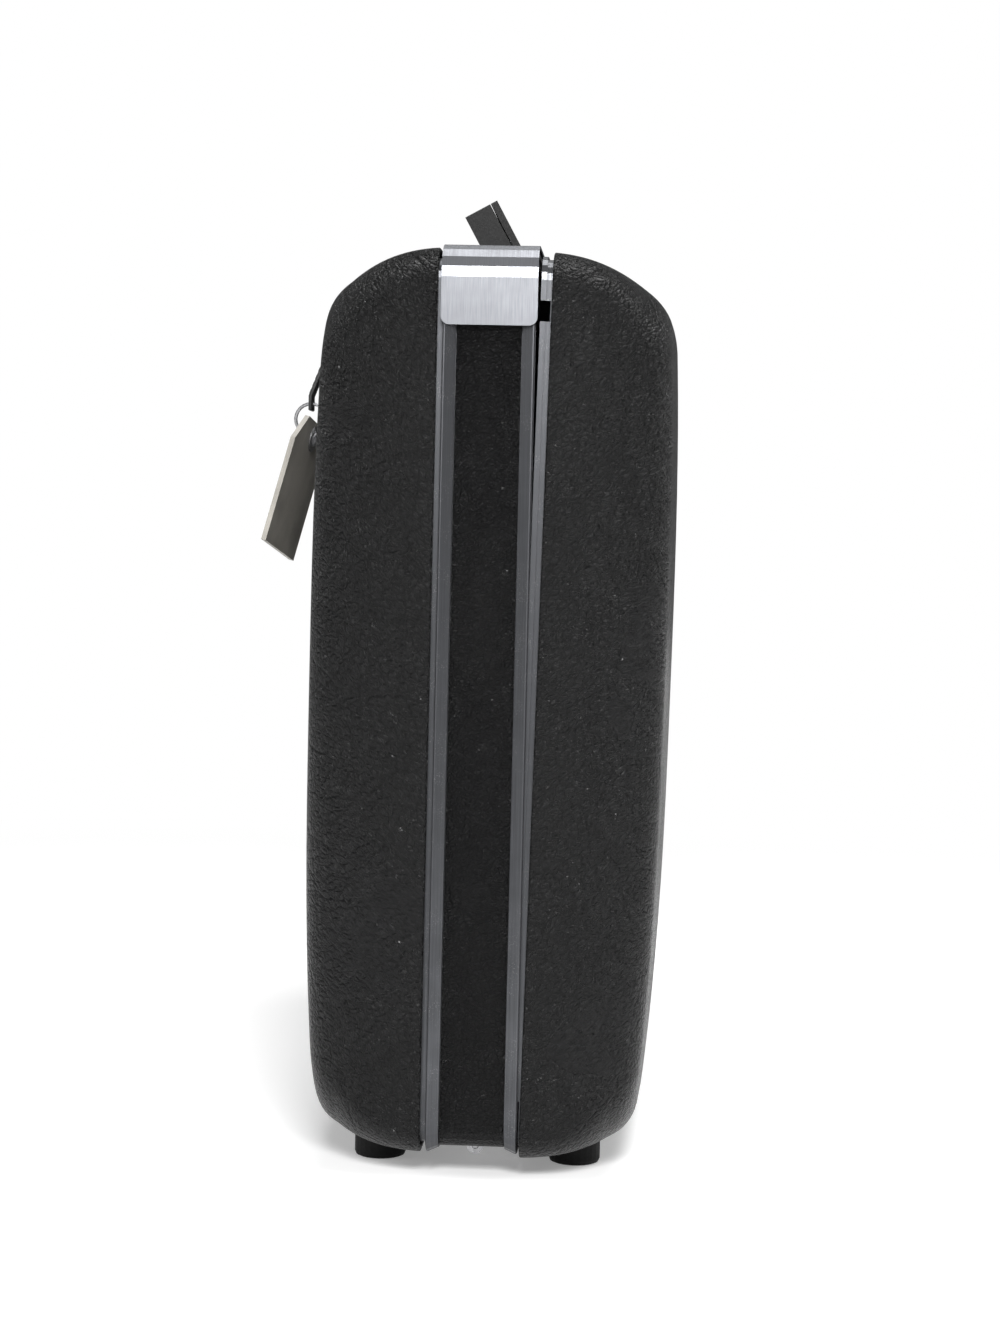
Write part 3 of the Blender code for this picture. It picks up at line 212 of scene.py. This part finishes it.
def makeDust():
    # Specks of dust, thicker where the noise gathers
    inputs = [
        ("Position", "NodeSocketVector", None),
        ("Speck Size", "NodeSocketFloat", 0.0006),
        ("Amount", "NodeSocketFloat", 0.5),
    ]
    tree, start, end = makeGroup("dust", inputs, [("Mask", "NodeSocketFloat")])
    count = tree.math("DIVIDE", 1.0, start.outputs["Speck Size"])
    specks = tree.add("ShaderNodeTexVoronoi", {"Vector": start.outputs["Position"], "Scale": count})
    dots = tree.ramp(specks.outputs["Distance"], 0.12, 0.3, 1.0, 0.0)
    gather = tree.add(
        "ShaderNodeTexNoise", {"Vector": start.outputs["Position"], "Scale": 120.0, "Detail": 4.0}
    )
    thick = tree.ramp(gather.outputs[0], 0.45, 0.65)
    mask = tree.math("MULTIPLY", tree.math("MULTIPLY", dots, thick), start.outputs["Amount"])
    tree.links.new(mask, end.inputs["Mask"])
    return tree.tree


leatherGrain = makeLeatherGrain()
brushedMetal = makeBrushed()
dustGroup = makeDust()


def newMaterial(name, values):
    # A Principled surface: its fixed numbers sit on its own sockets
    material = bpy.data.materials.new(name)
    material.use_nodes = True
    tree = Tree(material.node_tree)
    shader = tree.nodes["Principled BSDF"]
    for key, value in values.items():
        shader.inputs[key].default_value = (*value, 1.0) if isinstance(value, tuple) else value
    place = tree.add("ShaderNodeTexCoord").outputs["Object"]
    return material, tree, shader, place


def turned(tree, place, angle):
    turn = tree.add("ShaderNodeMapping", {"Vector": place, "Rotation": (0.0, angle, 0.0)})
    return turn.outputs[0]


def leatherMaterial(name, values):
    material, tree, shader, place = newMaterial(
        name,
        {"Roughness": values["roughness"], "Specular IOR Level": values["specular"]},
    )
    grain = tree.add("ShaderNodeGroup", {}, node_tree=leatherGrain)
    tree.links.new(turned(tree, place, values["angle"]), grain.inputs["Position"])
    grain.inputs["Pebble Size"].default_value = values["pebble"]
    grain.inputs["Stretch"].default_value = values["stretch"]
    grain.inputs["Crease Amount"].default_value = values["crease"]
    # Colour: painted shade in the valleys between the pebbles, so the pebble tops read lighter like painted
    # highlights
    colour = tree.mix(grain.outputs["Valley Shade"], (*values["valleyShade"], 1.0), (*values["colour"], 1.0))
    tree.links.new(colour, shader.inputs["Base Color"])
    smooth, rough = values["roughness"] - 0.05, values["roughness"] + 0.05
    gloss = tree.ramp(grain.outputs["Patch"], 0.3, 0.7, smooth, rough)
    tree.links.new(gloss, shader.inputs["Roughness"])
    bump = tree.add("ShaderNodeBump", {"Height": grain.outputs["Height"]})
    bump.inputs["Distance"].default_value = values["depth"]
    bump.inputs["Strength"].default_value = 1.0
    tree.links.new(bump.outputs[0], shader.inputs["Normal"])
    return material


def metalMaterial(name, values):
    material, tree, shader, place = newMaterial(
        name,
        {
            "Metallic": values["metallic"],
            "Roughness": values["roughness"],
            "Base Color": values["colour"],
        },
    )
    brush = tree.add("ShaderNodeGroup", {}, node_tree=brushedMetal)
    tree.links.new(turned(tree, place, values["angle"]), brush.inputs["Position"])
    brush.inputs["Line Pitch"].default_value = values["pitch"]
    brush.inputs["Line Length"].default_value = values["length"]
    low, high = (tuple(part * share for part in values["colour"]) for share in (0.82, 1.18))
    lines = tree.math("MULTIPLY", brush.outputs["Lines"], 0.6)
    blotch = tree.math("MULTIPLY", brush.outputs["Blotch"], 0.4)
    shade = tree.math("ADD", lines, blotch)
    colour = tree.mix(tree.ramp(shade, 0.3, 0.7), (*low, 1.0), (*high, 1.0))
    tree.links.new(colour, shader.inputs["Base Color"])
    rough = tree.ramp(shade, 0.3, 0.7, values["roughness"] + 0.06, values["roughness"] - 0.06)
    tree.links.new(rough, shader.inputs["Roughness"])
    bump = tree.add("ShaderNodeBump", {"Height": brush.outputs["Lines"]})
    bump.inputs["Distance"].default_value = values["depth"]
    tree.links.new(bump.outputs[0], shader.inputs["Normal"])
    if values.get("dust"):
        dust = tree.add("ShaderNodeGroup", {"Position": place}, node_tree=dustGroup)
        dust.inputs["Amount"].default_value = values["dust"]
        dusty = tree.mix(dust.outputs["Mask"], colour, (0.5, 0.5, 0.48, 1.0))
        tree.links.new(dusty, shader.inputs["Base Color"])
    return material


def plasticMaterial(name, values):
    material, tree, shader, place = newMaterial(
        name, {"Base Color": values["colour"], "Specular IOR Level": values.get("specular", 0.5)}
    )
    speckle = tree.add("ShaderNodeTexNoise", {"Vector": place, "Scale": values["grain"], "Detail": 5.0})
    blotch = tree.add("ShaderNodeTexNoise", {"Vector": place, "Scale": 45.0, "Detail": 3.0})
    low, high = (tuple(part * share for part in values["colour"]) for share in (0.8, 1.2))
    colour = tree.mix(tree.ramp(blotch.outputs[0], 0.3, 0.7), (*low, 1.0), (*high, 1.0))
    tree.links.new(colour, shader.inputs["Base Color"])
    rough = tree.ramp(speckle.outputs[0], 0.3, 0.7, values["roughness"] - 0.06, values["roughness"] + 0.06)
    tree.links.new(rough, shader.inputs["Roughness"])
    bump = tree.add("ShaderNodeBump", {"Height": speckle.outputs[0]})
    bump.inputs["Distance"].default_value = values["depth"]
    tree.links.new(bump.outputs[0], shader.inputs["Normal"])
    return material


def wovenMaterial(name, values):
    material, tree, shader, place = newMaterial(name, {"Roughness": 0.9, "Sheen Weight": 0.2})
    apart = tree.add("ShaderNodeSeparateXYZ", {0: place})
    waves = []
    for part in (1, 2):
        turns = tree.math("MULTIPLY", apart.outputs[part], 2 * math.pi / values["thread"])
        waves.append(tree.math("SINE", turns))
    weave = tree.math("MULTIPLY", waves[0], waves[1])
    shade = tree.ramp(weave, -0.8, 0.8)
    dark, light = (tuple(part * share for part in values["colour"]) for share in (0.7, 1.25))
    tree.links.new(tree.mix(shade, (*dark, 1.0), (*light, 1.0)), shader.inputs["Base Color"])
    bump = tree.add("ShaderNodeBump", {"Height": weave})
    bump.inputs["Distance"].default_value = values["thread"] / 6
    tree.links.new(bump.outputs[0], shader.inputs["Normal"])
    return material


shellLook = {
    "colour": (0.005, 0.005, 0.0053),
    # valley colour: the painted shade between the pebbles
    "valleyShade": (0.001, 0.001, 0.0011),
    "roughness": 0.31,
    "specular": 0.24,
    "pebble": 0.0019,
    "stretch": 1.8,
    "crease": 0.6,
    "depth": 0.0011,
    "angle": math.radians(-35),
}
baseLeather = leatherMaterial("grainedShellBase", shellLook)
lidLeather = leatherMaterial("grainedShellLid", {**shellLook, "angle": math.radians(35)})
inlayLeather = leatherMaterial(
    "grainedInlay",
    {
        **shellLook,
        "colour": (0.004, 0.004, 0.0043),
        "pebble": 0.0014,
        "stretch": 1.4,
        "crease": 0.3,
        "depth": 0.0006,
        "roughness": 0.28,
        "specular": 0.16,
        "angle": 0.3,
    },
)
railMetal = metalMaterial(
    "satinRail",
    {
        "colour": (0.075, 0.077, 0.083),
        "metallic": 0.85,
        "roughness": 0.36,
        "pitch": 0.0004,
        "length": 0.03,
        "depth": 0.00001,
        "angle": 0.0,
        "dust": 0.35,
    },
)
plateMetal = metalMaterial(
    "brushedPlate",
    {
        "colour": (0.15, 0.154, 0.165),
        "metallic": 0.9,
        "roughness": 0.38,
        "pitch": 0.0003,
        "length": 0.012,
        "depth": 0.00001,
        "angle": 0.0,
    },
)
steelMetal = metalMaterial(
    "platedSteel",
    {
        "colour": (0.36, 0.36, 0.37),
        "metallic": 1.0,
        "roughness": 0.28,
        "pitch": 0.0005,
        "length": 0.01,
        "depth": 0.000005,
        "angle": 0.0,
    },
)
handlePlastic = plasticMaterial(
    "matteHandle", {"colour": (0.004, 0.004, 0.004), "specular": 0.2, "roughness": 0.5, "grain": 1800.0, "depth": 0.00004}
)
footRubber = plasticMaterial(
    "blackRubber", {"colour": (0.005, 0.005, 0.005), "specular": 0.2, "roughness": 0.68, "grain": 1300.0, "depth": 0.00005}
)
tagPlastic = plasticMaterial(
    "greyTag", {"colour": (0.34, 0.323, 0.29), "roughness": 0.6, "grain": 900.0, "depth": 0.00003}
)
strapHide = plasticMaterial(
    "blackStrap", {"colour": (0.012, 0.012, 0.012), "roughness": 0.55, "grain": 1100.0, "depth": 0.0001}
)
liningCloth = wovenMaterial("greyLining", {"colour": (0.055, 0.055, 0.06), "thread": 0.0016})
pocketCloth = wovenMaterial("pocketCloth", {"colour": (0.045, 0.045, 0.05), "thread": 0.0012})
threadDark = plasticMaterial(
    "strapThread", {"colour": (0.03, 0.03, 0.03), "roughness": 0.7, "grain": 2400.0, "depth": 0.00003}
)
print("materials made")

finishes = {
    "grained_shell": baseLeather,
    "grained_inlay": inlayLeather,
    "satin_grey_rail": railMetal,
    "brushed_plate": plateMetal,
    "plated_steel": steelMetal,
    "handle_black": handlePlastic,
    "black_rubber": footRubber,
    "grey_lining": liningCloth,
    "grey_tag": tagPlastic,
    "black_strap": strapHide,
}
slotOf = {part["node"]: part["material_slot"] for part in frame["record"]["subparts"]}
for name, node in nodes.items():
    finish = finishes[slotOf[name]]
    if not node.material_slots:
        node.data.materials.append(finish)
    for slot in node.material_slots:
        slot.material = finish
print("frame dressed")


# Shells: the same form as the CAD trays, drawn smooth
shellSet = {
    "halfLength": 0.225,
    "low": 0.0113,
    "high": 0.3385,
    "cornerRadius": 0.009,
    "proud": 0.0026,
    "depth": 0.0496,
    "wall": 0.0023,
    "wallShare": 0.757,
    "topSlope": (0.05, 0.32),
    "bottomSlope": (0.03, 0.17),
    "endSlope": (0.04, 0.24),
    "cornerReach": 0.009,
    "faceRadius": 0.022,
    "crownTop": 0.0043,
    "crownBottom": 0.0062,
    "crownEnd": 0.004,
    "cornerSteps": 14,
    "sideSteps": 14,
    "wallSteps": 14,
    "roundSteps": 9,
    "faceSteps": 9,
    "faceReach": 0.75,
    "lidDrop": 0.0008,
    "ajar": math.radians(0.9),
    "hingeHeight": 0.0075,
    "rimRound": 0.0006,
    "faceCap": 0.6,
    "baseRim": 0.01885,
    "lidRim": 0.01755,
}


def ringOf(values, inset, radius):
    # A rounded rectangle as (y, z) points, starting at the middle of the far end
    top, bottom, end = inset
    halfLength = values["halfLength"] + values["proud"] - end
    low = values["low"] - values["proud"] + bottom
    high = values["high"] + values["proud"] - top
    corners = (
        (halfLength - radius, high - radius),
        (radius - halfLength, high - radius),
        (radius - halfLength, low + radius),
        (halfLength - radius, low + radius),
    )
    points = []
    for quarter, (centreY, centreZ) in enumerate(corners):
        for step in range(values["cornerSteps"] + 1):
            angle = math.pi / 2 * (quarter + step / values["cornerSteps"])
            points.append(Vector((centreY + radius * math.cos(angle), centreZ + radius * math.sin(angle))))
        following = corners[(quarter + 1) % 4]
        turnAngle = math.pi / 2 * (quarter + 1)
        nextPoint = Vector(
            (following[0] + radius * math.cos(turnAngle), following[1] + radius * math.sin(turnAngle))
        )
        last = points[-1]
        for step in range(1, values["sideSteps"]):
            points.append(last.lerp(nextPoint, step / values["sideSteps"]))
    return points


def crownAt(values, y, z, depth):
    middle = (values["low"] + values["high"]) / 2
    up = (z - middle) / (values["high"] - middle)
    fall = values["crownTop" if up > 0 else "crownBottom"] * abs(up) ** 3
    fall += values["crownEnd"] * abs(y / values["halfLength"]) ** 3
    return fall * (depth / values["depth"]) ** 2


def stationsOf(values):
    # Depth from the rim, the three insets and the corner radius of each ring
    slopes = (values["topSlope"], values["bottomSlope"], values["endSlope"])
    full = values["depth"]
    edge = full * values["wallShare"]
    rimRadius = values["cornerRadius"] + values["proud"]
    stations = []
    for step in range(values["wallSteps"] + 1):
        share = step / values["wallSteps"]
        depth = values.get("start", 0) * (1 - share) + edge * share
        drops = [depth * (first + second * depth / full) for first, second in slopes]
        stations.append((depth, drops, rimRadius + (values["faceRadius"] - rimRadius) * share**3))
    drops = []
    for step in range(1, values["roundSteps"] + 1):
        share = step / values["roundSteps"]
        back = 1 - share
        depth = back * back * edge + (1 - back * back) * full
        drops = []
        for first, second in slopes:
            start = edge * (first + second * edge / full)
            knee = start + (first + 2 * second * edge / full) * (full - edge)
            end = knee + values["cornerReach"]
            drops.append(back * back * start + 2 * back * share * knee + share * share * end)
        stations.append((depth, drops, values["faceRadius"]))
    halfHeight = (values["high"] - values["low"]) / 2
    for step in range(1, values["faceSteps"] + 1):
        inset = halfHeight * values["faceReach"] * (step / values["faceSteps"]) ** 1.3
        left = halfHeight - inset - (drops[0] + drops[1]) / 2
        radius = min(values["faceRadius"] + inset / 4, left * values["faceCap"])
        stations.append((full, [drop + inset for drop in drops], radius))
    return stations


def makeShell(name, side, rimX, drop, material, values):
    # A tray, or its lining when values move it inwards
    mesh = bmesh.new()
    loop = []
    inset = values.get("inset", 0)
    edge = values["depth"] * values["wallShare"]
    for depth, insets, radius in stationsOf(values):
        ring = ringOf(values, [part + inset for part in insets], radius)
        inner = depth - inset * max(0, depth - edge) / (values["depth"] - edge)
        places = []
        for y, z in ring:
            x = side * (rimX + inner - crownAt(values, y, z, depth))
            places.append(Vector((x, y, z - drop)))
        if not loop:
            loop = [mesh.verts.new(place) for place in places]
            edges = [mesh.edges.new((loop[index - 1], loop[index])) for index in range(len(loop))]
            continue
        grown = bmesh.ops.extrude_edge_only(mesh, edges=edges)["geom"]
        fresh = {part for part in grown if isinstance(part, bmesh.types.BMVert)}
        drawn = [part for part in grown if isinstance(part, bmesh.types.BMEdge)]
        edges = [part for part in drawn if set(part.verts) <= fresh]
        nextLoop = []
        for vert in loop:
            others = [edge.other_vert(vert) for edge in vert.link_edges]
            nextLoop.append(next(other for other in others if other in fresh))
        for vert, place in zip(nextLoop, places):
            vert.co = place
        loop = nextLoop
    bmesh.ops.edgeloop_fill(mesh, edges=edges)
    bmesh.ops.recalc_face_normals(mesh, faces=mesh.faces)
    if sum(face.normal.x * face.calc_area() for face in mesh.faces) * side < 0:
        bmesh.ops.reverse_faces(mesh, faces=mesh.faces)
    if side > 0:
        pivot = Vector((0, 0, values["hingeHeight"]))
        bmesh.ops.rotate(
            mesh, verts=mesh.verts, cent=pivot, matrix=Euler((0, values["ajar"], 0)).to_matrix()
        )
    bmesh.ops.translate(mesh, verts=mesh.verts, vec=Vector((caseX, 0, 0)))
    data = bpy.data.meshes.new(name)
    mesh.to_mesh(data)
    mesh.free()
    data.shade_smooth()
    data.materials.append(material)
    shell = bpy.data.objects.new(name, data)
    bpy.context.scene.collection.objects.link(shell)
    wall = shell.modifiers.new("wall", "SOLIDIFY")
    wall.thickness = values["wall"]
    wall.offset = -1
    wall.use_even_offset = True
    rim = shell.modifiers.new("rim", "BEVEL")
    rim.width = values["rimRound"]
    rim.segments = 3
    rim.limit_method = "ANGLE"
    rim.angle_limit = math.radians(60)
    return shell


baseShell = makeShell("baseShellSkin", -1, shellSet["baseRim"], 0.0, baseLeather, shellSet)
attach(baseShell, "base")
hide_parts("base_shell")
lidShell = makeShell(
    "lidShellSkin", 1, shellSet["lidRim"], shellSet["lidDrop"], lidLeather, shellSet
)
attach(lidShell, "lid")
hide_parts("lid_shell")
# Linings of cloth over board, from just inside the frame's flange
liningSet = {
    **shellSet,
    "inset": 0.0044,
    "wall": 0.001,
    "rimRound": 0.0003,
    "cornerSteps": 8,
    "sideSteps": 8,
    "wallSteps": 6,
    "roundSteps": 6,
}
liningStarts = {"base": 0.009, "lid": 0.0103}
for label, side, rimX, drop in (
    ("base", -1, shellSet["baseRim"], 0.0),
    ("lid", 1, shellSet["lidRim"], shellSet["lidDrop"]),
):
    start = liningStarts[label]
    lining = makeShell(f"{label}LiningCloth", side, rimX, drop, liningCloth, {**liningSet, "start": start})
    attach(lining, label)
    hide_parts(f"{label}_lining")
print("shells and linings made")

# Document pocket: a cloth panel held along its sides and foot, with an elastic hem at its mouth
pocketSet = {
    "halfLength": 0.15,
    "low": 0.07,
    "high": 0.25,
    "place": 0.06085,
    "thickness": 0.0011,
    "columns": 120,
    "rows": 36,
    "gathers": 26,
    "gatherDepth": 0.0005,
    "hemWidth": 0.012,
}


def makePocket(values):
    mesh = bmesh.new()
    turn = Euler((0, math.pi / 2, 0)).to_matrix().to_4x4()
    bmesh.ops.create_grid(
        mesh, x_segments=values["rows"], y_segments=values["columns"], size=0.5, matrix=turn
    )
    height = values["high"] - values["low"]
    for vert in mesh.verts:
        y = vert.co.y * 2 * values["halfLength"]
        z = values["low"] + (0.5 + vert.co.z) * height
        mouth = max(0.0, 1 - (values["high"] - z) / (height * 0.6))
        wave = 0.5 + 0.5 * math.cos(2 * math.pi * values["gathers"] * vert.co.y)
        hem = values["gatherDepth"] if values["high"] - z < values["hemWidth"] else 0
        lift = values["gatherDepth"] * wave * mouth + hem
        x = values["place"] - crownAt(shellSet, y, z, shellSet["depth"]) - lift
        vert.co = Vector((x, y, z - shellSet["lidDrop"]))
    pivot = Vector((0, 0, shellSet["hingeHeight"]))
    bmesh.ops.rotate(
        mesh, verts=mesh.verts, cent=pivot, matrix=Euler((0, shellSet["ajar"], 0)).to_matrix()
    )
    bmesh.ops.translate(mesh, verts=mesh.verts, vec=Vector((caseX, 0, 0)))
    bmesh.ops.recalc_face_normals(mesh, faces=mesh.faces)
    if sum(face.normal.x for face in mesh.faces) > 0:
        bmesh.ops.reverse_faces(mesh, faces=mesh.faces)
    data = bpy.data.meshes.new("pocketCloth")
    mesh.to_mesh(data)
    mesh.free()
    data.shade_smooth()
    data.materials.append(pocketCloth)
    pocket = bpy.data.objects.new("pocketCloth", data)
    bpy.context.scene.collection.objects.link(pocket)
    cloth = pocket.modifiers.new("cloth", "SOLIDIFY")
    cloth.thickness = values["thickness"]
    cloth.offset = 1
    return pocket


pocket = makePocket(pocketSet)
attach(pocket, "lid")
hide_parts("lid_pocket")
print("pocket made")

# Tag strap: a flat hide strap from the handle bracket over the shell to the tag's ring
strapSet = {
    "route": (
        (-0.0115, 0.3426),
        (-0.0175, 0.3426),
        (-0.02453, 0.34101),
        (-0.03019, 0.34011),
        (-0.03585, 0.3388),
        (-0.04151, 0.33708),
        (-0.04905, 0.33414),
        (-0.05659, 0.33048),
        (-0.063, 0.3262),
        (-0.06909, 0.32048),
        (-0.0768, 0.309),
        (-0.0826, 0.294),
        (-0.0826, 0.288),
    ),
    "middle": -0.0745,
    "halfWidth": 0.0049,
    "thickness": 0.0015,
    "edgeRound": 0.0004,
    "stitchInset": 0.0011,
    "stitchLength": 0.0019,
    "stitchPitch": 0.0031,
    "stitchRadius": 0.00022,
}


def makeStrap(values):
    mesh = bmesh.new()
    low = values["middle"] - values["halfWidth"]
    line = [mesh.verts.new((caseX + x, low, z)) for x, z in values["route"]]
    edges = [mesh.edges.new(pair) for pair in zip(line, line[1:])]
    grown = bmesh.ops.extrude_edge_only(mesh, edges=edges)["geom"]
    moved = [part for part in grown if isinstance(part, bmesh.types.BMVert)]
    bmesh.ops.translate(mesh, verts=moved, vec=Vector((0, 2 * values["halfWidth"], 0)))
    bmesh.ops.recalc_face_normals(mesh, faces=mesh.faces)
    if sum(face.normal.z * face.calc_area() for face in mesh.faces) < 0:
        bmesh.ops.reverse_faces(mesh, faces=mesh.faces)
    data = bpy.data.meshes.new("tagStrapHide")
    mesh.to_mesh(data)
    mesh.free()
    data.shade_smooth()
    data.materials.append(strapHide)
    strap = bpy.data.objects.new("tagStrapHide", data)
    bpy.context.scene.collection.objects.link(strap)
    body = strap.modifiers.new("thickness", "SOLIDIFY")
    body.thickness = values["thickness"]
    body.offset = 1
    body.use_even_offset = True
    edge = strap.modifiers.new("edges", "BEVEL")
    edge.width = values["edgeRound"]
    edge.segments = 2
    edge.limit_method = "ANGLE"
    edge.angle_limit = math.radians(50)
    return strap


def makeStitches(values):
    # Short threads along both edges, lying on the strap's outer face
    mesh = bmesh.new()
    points = [Vector((x, 0, z)) for x, z in values["route"]]
    for first, second in zip(points[1:-2], points[2:-1]):
        run = second - first
        along = run.normalized()
        out = Vector((along.z, 0, -along.x))
        if out.z < 0:
            out = -out
        turn = Vector((0, 0, 1)).rotation_difference(along).to_matrix().to_4x4()
        count = max(1, int(run.length / values["stitchPitch"]))
        for step in range(count):
            spot = first + run * ((step + 0.5) / count) + out * values["thickness"]
            for side in (-1, 1):
                y = values["middle"] + side * (values["halfWidth"] - values["stitchInset"])
                where = Vector((caseX + spot.x, y, spot.z))
                bmesh.ops.create_cone(
                    mesh,
                    cap_ends=True,
                    segments=8,
                    radius1=values["stitchRadius"],
                    radius2=values["stitchRadius"],
                    depth=values["stitchLength"],
                    matrix=Matrix.Translation(where) @ turn,
                )
    data = bpy.data.meshes.new("tagStrapStitches")
    mesh.to_mesh(data)
    mesh.free()
    data.materials.append(threadDark)
    stitches = bpy.data.objects.new("tagStrapStitches", data)
    bpy.context.scene.collection.objects.link(stitches)
    return stitches


strap = makeStrap(strapSet)
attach(strap, "base")
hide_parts("tag_strap")
stitches = makeStitches(strapSet)
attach(stitches, "base")
print("strap made")

# Studio: white floor that fades into the white behind it, soft lamps
studioSet = {
    "floorSize": 6.0,
    "lift": 0.25,
    "fadeStart": 0.45,
    "fadeEnd": 1.1,
    "lamps": {
        "key": {"place": (0.1, -1.35, 0.78), "aim": (0, -0.2, 0.32), "size": 0.35, "power": 20.0},
        "side": {"place": (1.3, -0.6, 1.2), "aim": (0, 0, 0.15), "size": 0.9, "power": 8.0},
        "left": {"place": (-1.4, -0.7, 0.9), "aim": (0, 0, 0.2), "size": 0.8, "power": 9.0},
        "top": {"place": (0.25, 0.1, 1.6), "aim": (0, 0, 0), "size": 1.0, "power": 22.0},
    },
    "worldLevel": 0.15,
}


def makeFloor(values):
    mesh = bmesh.new()
    bmesh.ops.create_circle(mesh, cap_ends=True, segments=96, radius=values["floorSize"])
    data = bpy.data.meshes.new("floor")
    mesh.to_mesh(data)
    mesh.free()
    floor = bpy.data.objects.new("floor", data)
    bpy.context.scene.collection.objects.link(floor)
    material, tree, shader, place = newMaterial("whiteFloor", {"Base Color": (0.9, 0.9, 0.9), "Roughness": 0.8})
    shader.inputs["Specular IOR Level"].default_value = 0.1
    distance = tree.add("ShaderNodeVectorMath", {0: place}, operation="LENGTH").outputs["Value"]
    fade = tree.ramp(distance, values["fadeStart"], values["fadeEnd"])
    rays = tree.add("ShaderNodeLightPath")
    seen = tree.math("MAXIMUM", rays.outputs["Is Camera Ray"], rays.outputs["Is Glossy Ray"])
    factor = tree.math("MULTIPLY", fade, seen)
    white = tree.add("ShaderNodeEmission", {"Color": (1, 1, 1, 1), "Strength": 1.0})
    lift = tree.math("MULTIPLY", seen, values["lift"])
    glow = tree.add("ShaderNodeEmission", {"Color": (1, 1, 1, 1), "Strength": lift})
    lifted = tree.add("ShaderNodeAddShader", {0: shader.outputs[0], 1: glow.outputs[0]})
    blend = tree.add("ShaderNodeMixShader", {0: factor, 1: lifted.outputs[0], 2: white.outputs[0]})
    tree.links.new(blend.outputs[0], tree.nodes["Material Output"].inputs["Surface"])
    data.materials.append(material)


def makeLamp(name, values):
    data = bpy.data.lights.new(name, "AREA")
    data.shape = "SQUARE"
    data.size = values["size"]
    data.energy = values["power"]
    lamp = bpy.data.objects.new(name, data)
    lamp.location = values["place"]
    towards = Vector(values["aim"]) - Vector(values["place"])
    lamp.rotation_euler = towards.to_track_quat("-Z", "Y").to_euler()
    bpy.context.scene.collection.objects.link(lamp)


def makeWorld(level):
    world = bpy.data.worlds.new("studio")
    bpy.context.scene.world = world
    world.use_nodes = True
    tree = Tree(world.node_tree)
    tree.nodes.clear()
    rays = tree.add("ShaderNodeLightPath")
    seen = tree.math("MAXIMUM", rays.outputs["Is Camera Ray"], rays.outputs["Is Transmission Ray"])
    dim = tree.add("ShaderNodeBackground", {"Color": (1, 1, 1, 1), "Strength": level})
    white = tree.add("ShaderNodeBackground", {"Color": (1, 1, 1, 1), "Strength": 1.0})
    blend = tree.add("ShaderNodeMixShader", {0: seen, 1: dim.outputs[0], 2: white.outputs[0]})
    out = tree.add("ShaderNodeOutputWorld")
    tree.links.new(blend.outputs[0], out.inputs["Surface"])


makeFloor(studioSet)
for lampName, lampValues in studioSet["lamps"].items():
    makeLamp(lampName, lampValues)
makeWorld(studioSet["worldLevel"])
bpy.context.scene.view_settings.view_transform = "Standard"
print("studio made")
